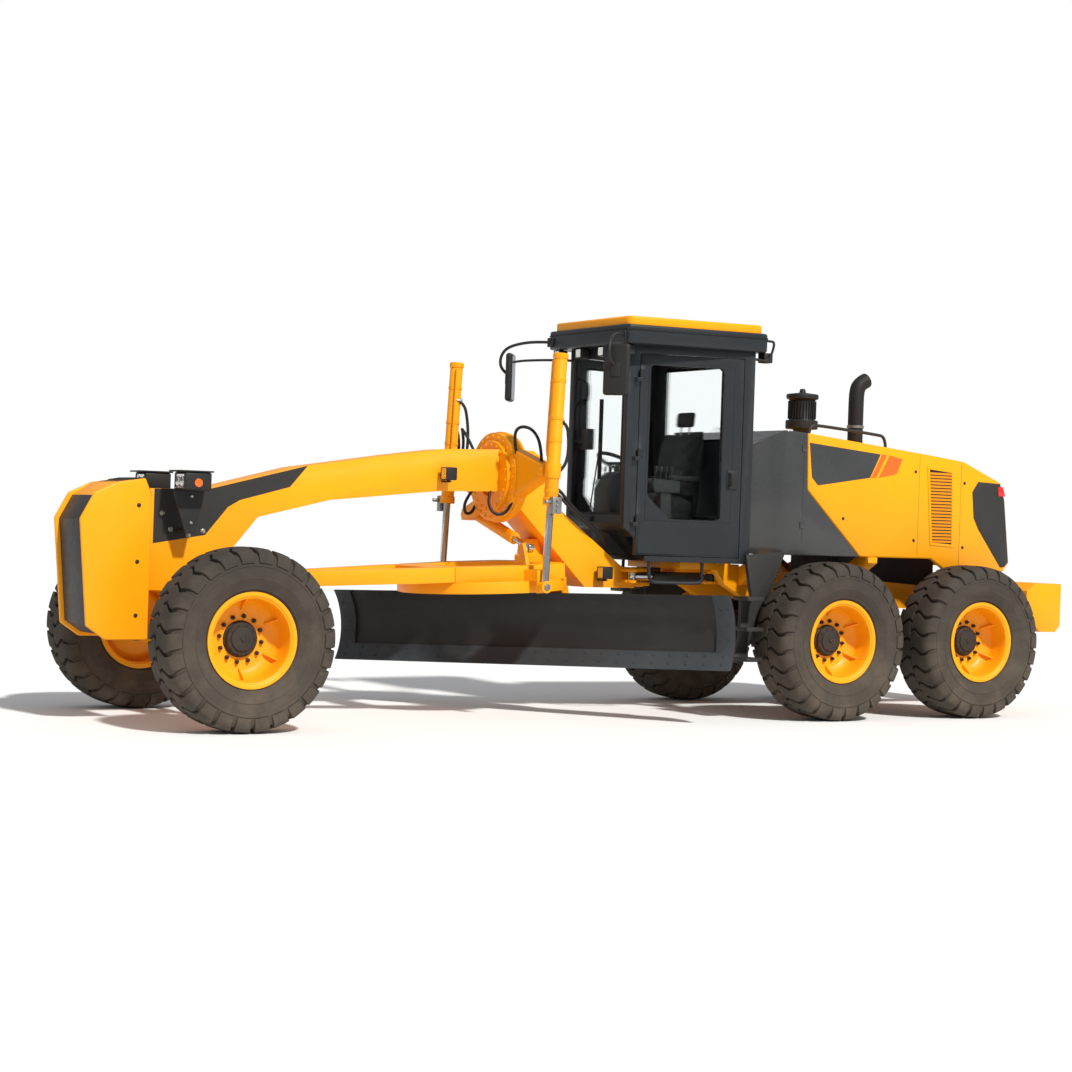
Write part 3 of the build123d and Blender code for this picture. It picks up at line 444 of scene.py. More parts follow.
def mixed(tree, share, first, second, blend="MIX"):
    made = node(tree, "ShaderNodeMix", data_type="RGBA", blend_type=blend)
    put(tree, made.inputs[0], share)
    put(tree, made.inputs[6], first)
    put(tree, made.inputs[7], second)
    return made.outputs[2]


def weathering_group():
    """Tone variation and settled dust, in patches and specks, on a plain colour."""
    tree = bpy.data.node_groups.new("Weathering", "ShaderNodeTree")
    socket(tree, "Vector", "NodeSocketVector")
    socket(tree, "Colour", "NodeSocketColor")
    socket(tree, "Dust colour", "NodeSocketColor")
    socket(tree, "Dust", "NodeSocketFloat", 0.3)
    socket(tree, "Roughness", "NodeSocketFloat", 0.4)
    socket(tree, "Variation", "NodeSocketFloat", 0.08)
    socket(tree, "Colour", "NodeSocketColor", way="OUTPUT")
    socket(tree, "Roughness", "NodeSocketFloat", way="OUTPUT")
    source = node(tree, "NodeGroupInput").outputs
    drain = node(tree, "NodeGroupOutput").inputs
    place = source["Vector"]
    height = node(tree, "ShaderNodeSeparateXYZ")
    tree.links.new(place, height.inputs[0])
    low = spread(tree, height.outputs[2], 0.1, 1.5, 1.0, 0.18)
    patches = spread(tree, noise(tree, place, 5.0, 6.0, 0.65), 0.42, 0.72)
    specks = spread(tree, noise(tree, place, 70.0, 2.0), 0.5, 0.75)
    settled = maths(tree, "MULTIPLY", low, maths(tree, "MULTIPLY_ADD", patches, 0.7), clamp=True)
    settled = maths(tree, "ADD", settled, maths(tree, "MULTIPLY", specks, 0.10))
    share = maths(tree, "MULTIPLY", settled, source["Dust"], clamp=True)
    tone = spread(tree, noise(tree, place, 1.7, 4.0), 0.3, 0.7, -0.5, 0.5)
    value = maths(tree, "MULTIPLY_ADD", tone, source["Variation"])
    value.node.inputs[2].default_value = 1.0
    toned = node(tree, "ShaderNodeHueSaturation")
    tree.links.new(source["Colour"], toned.inputs["Color"])
    tree.links.new(value, toned.inputs["Value"])
    tree.links.new(mixed(tree, share, toned.outputs[0], source["Dust colour"]), drain["Colour"])
    rough = maths(tree, "MULTIPLY_ADD", share, 0.45)
    put(tree, rough.node.inputs[2], source["Roughness"])
    grained = maths(tree, "MULTIPLY_ADD", spread(
        tree, noise(tree, place, 24.0, 4.0), 0.3, 0.7, -0.5, 0.5), 0.10)
    put(tree, grained.node.inputs[2], rough)
    tree.links.new(grained, drain["Roughness"])
    return tree


def grain_group():
    """Fine surface height: orange peel, casting skin or rubber grain by its scale."""
    tree = bpy.data.node_groups.new("Grain", "ShaderNodeTree")
    socket(tree, "Vector", "NodeSocketVector")
    socket(tree, "Scale", "NodeSocketFloat", 200.0)
    socket(tree, "Height", "NodeSocketFloat", way="OUTPUT")
    source = node(tree, "NodeGroupInput").outputs
    drain = node(tree, "NodeGroupOutput").inputs
    fine = node(tree, "ShaderNodeTexNoise")
    tree.links.new(source["Vector"], fine.inputs["Vector"])
    tree.links.new(source["Scale"], fine.inputs["Scale"])
    fine.inputs["Detail"].default_value = 3.0
    coarse = noise(tree, source["Vector"], 14.0, 2.0)
    tree.links.new(maths(
        tree, "ADD", fine.outputs["Fac"], maths(tree, "MULTIPLY", coarse, 0.5)), drain["Height"])
    return tree


def surface(
    name, colour, rough, dust=0.25, variation=0.08, grain=220.0, bump=0.03, metal=0.0, coat=0.0,
    coat_rough=0.1, depth=0.001):
    """A finish on Object coordinates with weathering and grain."""
    colours = bpy.context.scene.grader_colours
    material = bpy.data.materials.new("look_" + name)
    material.use_nodes = True
    tree = material.node_tree
    shader = tree.nodes["Principled BSDF"]
    place = node(tree, "ShaderNodeTexCoord").outputs["Object"]
    worn = node(tree, "ShaderNodeGroup", node_tree=bpy.data.node_groups["Weathering"])
    tree.links.new(place, worn.inputs["Vector"])
    worn.inputs["Colour"].default_value = (*colour, 1)
    worn.inputs["Dust colour"].default_value = (*colours.dust, 1)
    worn.inputs["Dust"].default_value = dust
    worn.inputs["Roughness"].default_value = rough
    worn.inputs["Variation"].default_value = variation
    tree.links.new(worn.outputs["Colour"], shader.inputs["Base Color"])
    tree.links.new(worn.outputs["Roughness"], shader.inputs["Roughness"])
    skin = node(tree, "ShaderNodeGroup", node_tree=bpy.data.node_groups["Grain"])
    tree.links.new(place, skin.inputs["Vector"])
    skin.inputs["Scale"].default_value = grain
    relief = node(tree, "ShaderNodeBump")
    relief.inputs["Strength"].default_value = bump
    relief.inputs["Distance"].default_value = depth
    tree.links.new(skin.outputs["Height"], relief.inputs["Height"])
    tree.links.new(relief.outputs[0], shader.inputs["Normal"])
    shader.inputs["Specular IOR Level"].default_value = 0.3
    shader.inputs["Metallic"].default_value = metal
    shader.inputs["Coat Weight"].default_value = coat
    shader.inputs["Coat Roughness"].default_value = coat_rough
    material.diffuse_color = (*colour, 1)
    return material


def clear_glass(name, tint, film_rough, alpha):
    """Thin glass with a faint film."""
    material = bpy.data.materials.new("look_" + name)
    material.use_nodes = True
    tree = material.node_tree
    shader = tree.nodes["Principled BSDF"]
    place = node(tree, "ShaderNodeTexCoord").outputs["Object"]
    film = spread(tree, noise(tree, place, 3.0, 5.0, 0.7), 0.45, 0.8, film_rough, film_rough + 0.03)
    tree.links.new(film, shader.inputs["Roughness"])
    shader.inputs["Base Color"].default_value = (*tint, 1)
    shader.inputs["Transmission Weight"].default_value = 1.0
    shader.inputs["IOR"].default_value = 1.04
    shader.inputs["Alpha"].default_value = alpha
    material.diffuse_color = (*tint, 0.4)
    return material


# Finishes: colour or the name of a user's colour, roughness, and what differs from a plain paint
FINISHES = {
    "yellow_paint": ("yellow", 0.40, dict(dust=0.08, grain=160, bump=0.04)),
    "charcoal_paint": ("charcoal", 0.46, dict(dust=0.10, variation=0.3, grain=180, bump=0.05)),
    "shell_paint": ((0.040, 0.042, 0.043), 0.30, dict(dust=0.06, variation=0.25, grain=120, coat=0.4)),
    "cab_paint": ("cab", 0.40, dict(dust=0.05, variation=0.3, grain=200, bump=0.04, coat=0.1)),
    "stripe_paint": ("stripe", 0.35, dict(dust=0.05, coat=0.3)),
    "rubber": ("rubber", 0.80, dict(dust=0.42, variation=0.5, grain=90, bump=0.25, depth=0.003)),
    "hose_rubber": ((0.012, 0.012, 0.013), 0.5, dict(dust=0.10, variation=0.3, grain=300, bump=0.15)),
    "seal_rubber": ((0.01, 0.01, 0.01), 0.7, dict(dust=0.10, grain=300)),
    "blade_steel": ((0.014, 0.014, 0.014), 0.46, dict(dust=0.05, variation=0.4, grain=60, bump=0.10)),
    "edge_steel": ((0.030, 0.037, 0.043), 0.42, dict(dust=0.05, variation=0.4, grain=80, bump=0.12)),
    "rod_chrome": ((0.55, 0.56, 0.57), 0.14, dict(
        dust=0.05, variation=0.1, grain=400, bump=0.01, metal=1.0)),
    "bolt_zinc": ((0.42, 0.40, 0.34), 0.35, dict(dust=0.10, grain=200, metal=0.9)),
    # Louvre slats: the machine yellow darkened to orange-brown, painted shade of the recessed mesh
    "louvre_shade_paint": ((0.72, 0.25, 0.002), 0.42, dict(dust=0.10, grain=160)),
    "hub_black": ((0.018, 0.016, 0.015), 0.5, dict(dust=0.14, variation=0.4, grain=120, bump=0.1)),
    "bare_steel": ((0.30, 0.30, 0.30), 0.42, dict(variation=0.3, grain=120, bump=0.1, metal=0.9)),
    "engine_iron": ((0.03, 0.03, 0.03), 0.7, dict(dust=0.3, grain=90, bump=0.3, metal=0.2)),
    "stack_black": ((0.010, 0.010, 0.011), 0.62, dict(dust=0.12, variation=0.3, grain=150, bump=0.15)),
    "dark_plastic": ((0.016, 0.017, 0.018), 0.48, dict(dust=0.10, variation=0.2, grain=260, bump=0.25)),
    "inside_plastic": ((0.022, 0.026, 0.027), 0.55, dict(dust=0.08, variation=0.2, grain=240, bump=0.3)),
    "seat_cloth": ((0.020, 0.023, 0.024), 0.92, dict(dust=0.10, variation=0.3, grain=420, bump=0.6)),
    "reflector_orange": ((0.85, 0.14, 0.01), 0.22, dict(dust=0.05, coat=0.6)),
    "lamp_red": ((0.65, 0.015, 0.01), 0.2, dict(dust=0.05, coat=0.6)),
    "lamp_silver": ((0.75, 0.75, 0.73), 0.18, dict(dust=0.02, metal=0.9)),
    "mirror_face": ((0.75, 0.78, 0.8), 0.04, dict(dust=0.0, variation=0.02, metal=1.0))}


class GRADER_OT_finishes(bpy.types.Operator):
    """Makes the paints, metals, rubber, glass and fabric"""
    bl_idname = "grader.finishes"
    bl_label = "Finishes"

    def execute(self, context):
        weathering_group()
        grain_group()
        for name, (colour, rough, rest) in FINISHES.items():
            if isinstance(colour, str):
                colour = getattr(context.scene.grader_colours, colour)
            surface(name, colour, rough, **rest)
        clear_glass("window_glass", (0.93, 0.97, 0.965), 0.0, 0.6)
        clear_glass("lamp_glass", (0.95, 0.95, 0.92), 0.03, 0.6)
        return {"FINISHED"}


# Solids that keep their shape: finish, edge rounding and nodes. "*" stands for left and right
DRESSED = [
    ("yellow_paint", 0.010, "front_frame saddle"),
    ("yellow_paint", 0.008, "front_axle"),
    ("yellow_paint", 0.003, "steering_rod lean_bar"),
    ("yellow_paint", 0.008, "drawbar"),
    ("yellow_paint", 0.005, "circle"),
    ("charcoal_paint", 0.003, "blade_carrier"),
    ("blade_steel", 0.003, "moldboard"),
    ("edge_steel", 0.002, "cutting_edge"),
    ("yellow_paint", 0.006, "rear_frame"),
    ("charcoal_paint", 0.014, "tandem_cases"),
    ("engine_iron", 0.010, "engine_block"),
    ("yellow_paint", 0.022, "engine_hood"),
    ("yellow_paint", 0.016, "rear_bumper"),
    ("cab_paint", 0.006, "cab_body"),
    ("inside_plastic", 0.006, "control_console"),
    ("charcoal_paint", 0.004, "access_steps"),
    ("yellow_paint", 0.002, "lift_barrels"),
    ("rod_chrome", 0.002, "lift_rods"),
    ("yellow_paint", 0.002, "centre_shift_barrel"),
    ("rod_chrome", 0.002, "centre_shift_rod"),
    ("charcoal_paint", 0.002, "blade_tip_barrel"),
    ("rod_chrome", 0.002, "blade_tip_rod"),
    ("yellow_paint", 0.004, "lean_yoke_*"),
    ("yellow_paint", 0.003, "steering_knuckle_*"),
    ("cab_paint", 0.005, "door_*"),
    ("charcoal_paint", 0.002, "articulation_barrel_*"),
    ("rod_chrome", 0.002, "articulation_rod_*"),
    ("window_glass", 0.0, "cab_glass door_glass_*"),
]


class GRADER_OT_plates(bpy.types.Operator):
    """Gives the plate work, castings and glass rounded edges and their finish"""
    bl_idname = "grader.plates"
    bl_label = "Plates and castings"

    def execute(self, context):
        for finish, edge, nodes in DRESSED:
            for name in nodes.split():
                for side in ("left", "right") if "*" in name else ("",):
                    dressed(name.replace("*", side), finish, edge)
        return {"FINISHED"}


# Wheels

def tread_lug(side, turn, count):
    """One tread block from the middle of the tread down over the shoulder, with a wavy edge."""
    run = [
        (0.0, 0.672, 0.10), (0.04, 0.672, 0.34), (0.085, 0.671, 0.02), (0.125, 0.668, -0.30),
        (0.160, 0.664, -0.34), (0.186, 0.654, -0.20), (0.208, 0.632, -0.10), (0.219, 0.596, -0.05),
        (0.2195, 0.560, -0.02)]
    pitch = math.tau / count
    across = 3
    bpy.ops.mesh.primitive_grid_add(x_subdivisions=len(run) - 1, y_subdivisions=across, size=1)
    piece = new_piece("lug")
    for place, vertex in enumerate(piece.data.vertices):
        step, row = place % len(run), place // len(run)
        y, radius, shift = run[step]
        share = 0.84 - 0.10 * step / len(run)
        angle = turn + pitch * (shift * 0.5 + (row / across - 0.5) * share)
        vertex.co = (radius * math.cos(angle), side * (y + 0.004), radius * math.sin(angle))
    recalculate(piece)
    return piece


def six_wheels(piece, node, ending):
    """Copies of the piece on the six hubs, in place of the solids."""
    for name, (axle_x, side) in WHEELS.items():
        turn = Matrix.Rotation(0 if side > 0 else math.pi, 4, "Z")
        place = Matrix.Translation((axle_x, side * WHEEL_Y, TYRE_RADIUS)) @ turn
        copy = fit(copied(piece, f"{node}_{name}_{ending}", place), "wheel_" + name)
        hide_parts(f"{node}_{name}")
    bpy.data.objects.remove(piece)


class GRADER_OT_tyres(bpy.types.Operator):
    """Models the tyre once and fits six copies"""
    bl_idname = "grader.tyres"
    bl_label = "Tyres"

    def execute(self, context):
        sizes = context.scene.grader_sizes
        wall = [
            (0.318, 0.150), (0.330, 0.166), (0.356, 0.168), (0.372, 0.186), (0.384, 0.188), (0.400, 0.200),
            (0.440, 0.212), (0.452, 0.2165), (0.458, 0.2125), (0.500, 0.215), (0.532, 0.2145),
            (0.538, 0.2185), (0.552, 0.2185), (0.558, 0.213), (0.600, 0.206), (0.628, 0.186), (0.640, 0.14),
            (0.643, 0.07)]
        profile = wall + [(radius, -y) for radius, y in reversed(wall)]
        carcass = lathe("tyre", profile, 112)
        pitch = math.tau / sizes.lug_count
        lugs = []
        for side in (1, -1):
            first = tread_lug(side, 0.0 if side > 0 else pitch / 2, sizes.lug_count)
            thick = first.modifiers.new("Depth", "SOLIDIFY")
            thick.thickness = sizes.lug_depth + 0.012
            thick.offset = -1
            apply_modifiers(first)
            recalculate(first)
            rounded(first, 0.0035, 1, 40)
            for step in range(1, sizes.lug_count):
                lugs.append(copied(first, "lug", Matrix.Rotation(step * pitch, 4, "Y")))
            lugs.append(first)
        tyre = joined("tyre", [carcass] + lugs)
        six_wheels(paint(tyre, "rubber"), "tyre", "tread")
        return {"FINISHED"}


class GRADER_OT_rims(bpy.types.Operator):
    """Models the rim with its deep disc, hub and nuts, and fits six copies"""
    bl_idname = "grader.rims"
    bl_label = "Rims"

    def execute(self, context):
        barrel = [
            (0.3165, -0.168), (0.3165, 0.168), (0.334, 0.171), (0.350, 0.172), (0.352, 0.176),
            (0.350, 0.181), (0.330, 0.181), (0.320, 0.177), (0.314, 0.169), (0.306, 0.166), (0.302, 0.158),
            (0.298, 0.110), (0.2927, 0.011), (0.287, -0.004), (0.244, -0.042), (0.230, -0.049),
            (0.126, -0.049), (0.126, -0.071), (0.234, -0.071), (0.252, -0.066), (0.292, -0.030),
            (0.303, -0.05), (0.303, -0.168), (0.318, -0.181), (0.350, -0.181), (0.352, -0.172)]
        parts = []
        add(parts, "yellow_paint", lathe("rim", barrel, 96))
        hub = [
            (0.0, 0.012), (0.070, 0.012), (0.086, 0.009), (0.090, 0.000), (0.094, -0.004), (0.114, -0.005),
            (0.121, -0.012), (0.124, -0.032), (0.132, -0.036), (0.135, -0.042), (0.135, -0.072),
            (0.0, -0.072)]
        add(parts, "hub_black", lathe("hub", hub, 64))
        add(parts, "hub_black", bolt_ring("cap_bolt", (0, -0.006, 0), "Y", 0.104, 10, 0.0075, 0.007))
        add(parts, "hub_black", bolt_ring("nut", (0, -0.049, 0), "Y", 0.168, 12, 0.017, 0.020, 0.13))
        add(parts, "hub_black", bolt_ring("stud", (0, -0.030, 0), "Y", 0.168, 12, 0.009, 0.016, 0.13))
        add(parts, "hub_black", bolt_ring("plug", (0, 0.011, 0), "Y", 0.0, 1, 0.020, 0.008))
        for gusset in range(6):
            wedge = outline("gusset", "Z", [
                (0.205, -0.0495), (0.300, -0.0495), (0.300, 0.060), (0.290, 0.060)
            ], -0.006, 0.006, 0.0015, 1)
            add(parts, "yellow_paint", moved(wedge, Matrix.Rotation(math.tau * (gusset + 0.5) / 6, 4, "Y")))
        six_wheels(joined("rim", parts), "rim", "disc")
        return {"FINISHED"}


# Front end: the nose's outlines are (x, z) points from the front axle, in millimetres

NOSE_SIDE = [
    (418, 618), (750, 618), (900, 720), (970, 1510), (865, 1704), (690, 1785), (472, 1823), (418, 1700)]
NOSE_CORE = [
    (418, 652), (738, 652), (868, 738), (936, 1505), (840, 1682), (690, 1784), (472, 1822), (418, 1700)]
NOSE_FRONT = [
    (841.5, 1685), (939, 1505.5), (871, 736), (738.5, 649), (730, 700), (835, 765), (895, 1490), (800, 1670)
]
# The dark plate on the gooseneck and its bolts, in metres
NECK_PANEL = [
    (2.794, 1.975), (2.942, 1.803), (3.360, 1.687), (3.458, 1.630), (3.639, 1.411), (4.060, 1.338),
    (4.060, 1.750), (3.627, 1.760)]
NECK_BOLTS = [(3.993, 1.569), (3.923, 1.448), (3.779, 1.405), (3.660, 1.440)]


def from_axle(points):
    """Points measured from the front axle, in the machine's own metres."""
    return [(FRONT_AXLE_X + x / 1000, z / 1000) for x, z in points]


class GRADER_OT_nose(bpy.types.Operator):
    """Builds the nose with its sunk dark front and the dark plates of the gooseneck"""
    bl_idname = "grader.nose"
    bl_label = "Nose"

    def execute(self, context):
        side = paint(outline(
            "nose_side", "Y", from_axle(NOSE_SIDE), NOSE_HALF - 0.034, NOSE_HALF, 0.011, 3), "yellow_paint")
        core = paint(outline("nose_core", "Y", from_axle(NOSE_CORE), -0.2565, 0.2565, 0.004), "yellow_paint")
        front = paint(outline(
            "nose_front", "Y", from_axle(NOSE_FRONT), -0.254, 0.254, 0.003), "charcoal_paint")
        nose = joined("nose", [both_sides(side, "nose_side"), core, front])
        fit(nose, "front_frame")
        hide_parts("nose_cover")
        trim = []
        for low in (0.030, 0.145):
            slot = from_axle([(500, 1819.5), (655, 1792.5), (655, 1786), (500, 1812)])
            add(trim, "seal_rubber", outline("slot", "Y", slot, low, low + 0.05, 0.0008, 1))
        seal = from_axle([
            (404, 1690), (419, 1700), (476, 1822), (560, 1808), (560, 1812), (472, 1829), (458, 1822)])
        add(trim, "seal_rubber", outline("seal", "Y", seal, 0.0, 0.262, 0.001, 1))
        for z in (1.62, 1.20, 0.80):
            spot = Vector((FRONT_AXLE_X + 0.52, NOSE_HALF, z))
            add(trim, "dark_plastic", rod("latch", spot, spot + Vector((0, 0.004, 0)), 0.016, 0.0015, 24))
        pair("nose_trim", trim, "front_frame", "charcoal_paint")
        plate = paint(outline(
            "neck_panel", "Y", NECK_PANEL, NECK_HALF - 0.0005, NECK_HALF + 0.0015, 0.0008, 1
        ), "charcoal_paint")
        parts = [plate]
        for x, z in NECK_BOLTS:
            spot = Vector((x, NECK_HALF, z))
            add(parts, "bolt_zinc", rod("bolt", spot, spot + Vector((0, 0.006, 0)), 0.020, 0.001, 24))
            add(parts, "bolt_zinc", rod("bolt", spot, spot + Vector((0, 0.016, 0)), 0.014, 0.0015, 6))
        pair("neck_panel", parts, "front_frame", "charcoal_paint")
        return {"FINISHED"}


# Work lamps: x, the wall's y and z
WORK_LAMPS = [(1.580, NECK_HALF, 1.962), (0.070, 0.200, 1.192)]


def lamp_case(parts, low, high, lens, segments=2, facing=1):
    """A square lamp with a sunk reflector and a lens, facing forward or back."""
    low, high = Vector(low), Vector(high)
    face = high.x if facing > 0 else low.x

    def layer(name, inner, outer, rim):
        ends = sorted((face + facing * inner, face + facing * outer))
        return block(name, (ends[0], low.y + rim, low.z + rim), (ends[1], high.y - rim, high.z - rim))

    shell = block("shell", low, high, 0.010, segments)
    add(parts, "dark_plastic", cut(shell, layer("recess", -0.008, 0.020, 0.008)))
    add(parts, "lamp_silver", layer("silver", -0.0075, -0.0055, 0.009))
    add(parts, "lamp_glass", layer("lens", -0.003, -lens, 0.0085))


class GRADER_OT_lamps(bpy.types.Operator):
    """Builds the headlamps and the work lamps with bezels, reflectors and lenses"""
    bl_idname = "grader.lamps"
    bl_label = "Lamps"

    def execute(self, context):
        parts = []
        body = block("lamp", (3.742, 0.290, 1.742), (3.960, 0.500, 1.879), 0.014, 3)
        cut(body, block("recess", (3.950, 0.308, 1.758), (3.990, 0.482, 1.863)))
        add(parts, "dark_plastic", body)
        add(parts, "dark_plastic", block("visor", (3.730, 0.280, 1.8795), (4.000, 0.510, 1.8915), 0.004))
        add(parts, "lamp_silver", block("silver", (3.951, 0.309, 1.759), (3.953, 0.481, 1.862)))
        for y in (0.352, 0.438):
            bulb = [(0.0, 0.001), (0.020, 0.001), (0.036, 0.0055), (0.036, 0.0), (0.0, 0.0)]
            add(parts, "lamp_silver", spun("bulb", bulb, 32, (3.9528, y, 1.811), "X"))
        add(parts, "lamp_glass", block("lens", (3.960, 0.3085, 1.7585), (3.963, 0.4815, 1.8625), 0.001, 1))
        plate = outline(
            "plate", "Y", from_axle([(20, 1742), (280, 1742), (172, 1420), (88, 1420)]), 0.338, 0.352,
            0.002, 1)
        add(parts, "dark_plastic", plate)
        foot = block(
            "foot", (FRONT_AXLE_X + 0.09, 0.1603, 1.430), (FRONT_AXLE_X + 0.17, 0.345, 1.450), 0.003)
        add(parts, "dark_plastic", foot)
        add(parts, "reflector_orange", rod(
            "side_lamp", (3.85, 0.499, 1.800), (3.85, 0.506, 1.800), 0.032, 0.002, 32))
        for z in (1.70, 1.50):
            spot = Vector((FRONT_AXLE_X + 0.13, 0.352, z))
            add(parts, "bolt_zinc", rod("bolt", spot, spot + Vector((0, 0.010, 0)), 0.012, 0.001, 6))
        lamps = both_sides(joined("headlamps_built", parts), "headlamps_built")
        fit(lamps, "front_frame")
        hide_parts("headlamps")
        parts = []
        for x, wall, z in WORK_LAMPS:
            lamp_case(
                parts, (x - 0.050, wall + 0.036, z - 0.052), (x + 0.052, wall + 0.140, z + 0.052), 0.0005, 3
            )
            for row in range(3):
                for column in range(3):
                    spot = Vector((x + 0.0465, wall + 0.061 + 0.027 * column, z - 0.027 + 0.027 * row))
                    add(parts, "lamp_silver", rod(
                        "cup", spot, spot + Vector((0.002, 0, 0)), 0.006, 0, 16, 0.011))
            add(parts, "dark_plastic", block(
                "arm", (x - 0.020, wall - 0.002, z - 0.070), (x + 0.020, wall + 0.100, z - 0.060), 0.002))
            add(parts, "dark_plastic", block(
                "stem", (x - 0.012, wall + 0.074, z - 0.064), (x + 0.012, wall + 0.100, z - 0.046), 0.002))
        pair("work_lamps", parts, "front_frame", "lamp_black")
        return {"FINISHED"}


class GRADER_OT_saddle(bpy.types.Operator):
    """Adds the drum's flange, band, cone and bolts, and the bolts of the trunnions"""
    bl_idname = "grader.saddle"
    bl_label = "Saddle drum"

    def execute(self, context):
        flange = [(0.16, 0.064), (0.300, 0.064), (0.300, 0.090), (0.294, 0.096), (0.16, 0.096)]
        parts = [spun("flange", flange, 96, DRUM_CENTRE, "X")]
        band = [
            (0.300, -0.030), (0.372, -0.030), (0.376, -0.026), (0.376, 0.012), (0.372, 0.016),
            (0.300, 0.016)]
        parts.append(spun("band", band, 112, DRUM_CENTRE, "X"))
        cone = [
            (0.10, -0.064), (0.352, -0.064), (0.352, -0.078), (0.345, -0.084), (0.268, -0.130),
            (0.256, -0.134), (0.10, -0.134)]
        parts.append(spun("cone", cone, 96, DRUM_CENTRE, "X"))
        parts.append(bolt_ring("bolt", (0.965 + 0.094, 0, 1.960), "X", 0.268, 20, 0.013, 0.012, 0.1))
        parts.append(bolt_ring("bolt", (0.965 + 0.063, 0, 1.960), "X", 0.335, 24, 0.013, 0.014))
        for side in (-1, 1):
            parts.append(bolt_ring(
                "bolt", (0.965, side * 0.757, 2.010), "Y", 0.050, 6, 0.007, 0.019 if side > 0 else -0.019))
        for part in parts:
            paint(part, "yellow_paint")
        group("saddle_rings", parts, "front_frame", "machine_yellow")
        return {"FINISHED"}


# Hydraulics: name, body, radius, length and control points of each hose on the left side

HOSES = [
    ("arm_hose", "lift_barrels", 0.013, 0.627, [
        (0.94, 0.80, 2.62), (0.875, 0.775, 2.61), (0.845, 0.755, 2.42), (0.845, 0.745, 2.24),
        (0.87, 0.74, 2.12), (0.93, 0.745, 2.06)]),
    ("arm_hose_short", "lift_barrels", 0.013, 0.5, [
        (0.94, 0.87, 2.40), (0.875, 0.885, 2.40), (0.850, 0.885, 2.24), (0.860, 0.885, 2.10),
        (0.905, 0.880, 2.02), (0.955, 0.865, 1.98)]),
    ("leg_hose_outer", "front_frame", 0.014, 0.95, [
        (0.640, 0.16, 1.92), (0.545, 0.235, 1.85), (0.420, 0.262, 1.72), (0.250, 0.262, 1.60),
        (0.110, 0.240, 1.51), (0.010, 0.190, 1.43), (-0.030, 0.150, 1.32)]),
    ("leg_hose_inner", "front_frame", 0.014, 1.004, [
        (0.640, 0.11, 1.95), (0.520, 0.205, 1.90), (0.400, 0.222, 1.755), (0.230, 0.222, 1.63),
        (0.090, 0.200, 1.53), (-0.010, 0.150, 1.44), (-0.050, 0.110, 1.31)]),
    ("neck_hose", "front_frame", 0.013, 0.55, [
        (1.11, 0.13, 1.88), (1.18, 0.185, 1.76), (1.15, 0.235, 1.65), (1.06, 0.270, 1.65),
        (1.00, 0.290, 1.75), (0.985, 0.300, 1.84)]),
    ("arm_loop", "front_frame", 0.013, 0.712, [
        (1.00, 0.33, 2.14), (1.06, 0.37, 2.29), (1.07, 0.47, 2.37), (1.00, 0.57, 2.35), (0.95, 0.63, 2.22),
        (0.96, 0.66, 2.05)])]


class GRADER_OT_hydraulics(bpy.types.Operator):
    """Adds glands, clamps, pipes, the valve block and the hoses of the cylinders"""
    bl_idname = "grader.hydraulics"
    bl_label = "Hydraulics"

    def execute(self, context):
        for name, body, radius, length, points in HOSES:
            for side, label in ((1, "_left"), (-1, "_right")):
                hose(name + label, [(x, side * y, z) for x, y, z in points], radius, body)
        gland = [
            (0.0325, -0.275), (0.062, -0.275), (0.064, -0.272), (0.064, -0.222), (0.060, -0.216),
            (0.0325, -0.216)]
        cap = [(0.0, 0.935), (0.058, 0.935), (0.062, 0.931), (0.062, 0.900), (0.056, 0.895), (0.0, 0.895)]
        lean = Matrix.Translation(TRUNNION) @ Matrix.Rotation(
            -math.atan2(0.0396, 0.9297), 4, "Y") @ onto("Z")
        parts = [
            paint(moved(lathe("gland", gland, 40), lean), "yellow_paint"),
            paint(moved(lathe("cap", cap, 40), lean), "yellow_paint")]
        for height in (-0.16, 0.24, 0.42, 0.72):
            ring = [
                (0.054, height - 0.012), (0.0585, height - 0.012), (0.0585, height + 0.012),
                (0.054, height + 0.012)]
            add(parts, "yellow_paint", moved(lathe("clamp", ring, 40), lean))
        line = pipe("line", [
            (0.0, 0.88, 0.045), (0.030, 0.89, 0.062), (0.030, 0.86, 0.066), (0.030, 0.30, 0.066),
            (0.030, 0.10, 0.066), (0.0, 0.08, 0.045)], 0.009)
        add(parts, "yellow_paint", moved(line, lean))
        for z in (2.62, 2.40):
            y = 0.80 if z > 2.5 else 0.87
            add(parts, "bare_steel", rod("elbow", (0.945, y, z), (0.893, y - 0.01, z), 0.019, 0.002, 24))
        valve = block("valve", (0.935, 0.892, 1.665), (1.020, 0.945, 1.800), 0.005, 2)
        add(parts, "bare_steel", valve)
        for z in (1.690, 1.732, 1.775):
            add(parts, "bare_steel", rod("port", (0.978, 0.944, z), (0.978, 0.958, z), 0.013, 0.001, 6))
        add(parts, "bare_steel", rod(
            "cartridge", (1.018, 0.918, 1.76), (1.075, 0.918, 1.76), 0.015, 0.002, 24))
        pair("lift_fittings", parts, "lift_barrels", "machine_yellow")
        eye = [
            (0.018, -0.037), (0.046, -0.037), (0.048, -0.034), (0.048, 0.034), (0.046, 0.037),
            (0.018, 0.037)]
        eyes = [paint(spun("eye", eye, 40, LIFT_EYE), "yellow_paint")]
        add(eyes, "bare_steel", rod(
            "pin_head", Vector(LIFT_EYE) + Vector((0, 0.034, 0)), Vector(LIFT_EYE) + Vector((0, 0.046, 0)),
            0.030, 0.003, 6))
        pair("lift_eyes", eyes, "lift_rods", "machine_yellow")
        return {"FINISHED"}


# Drawbar, circle and blade

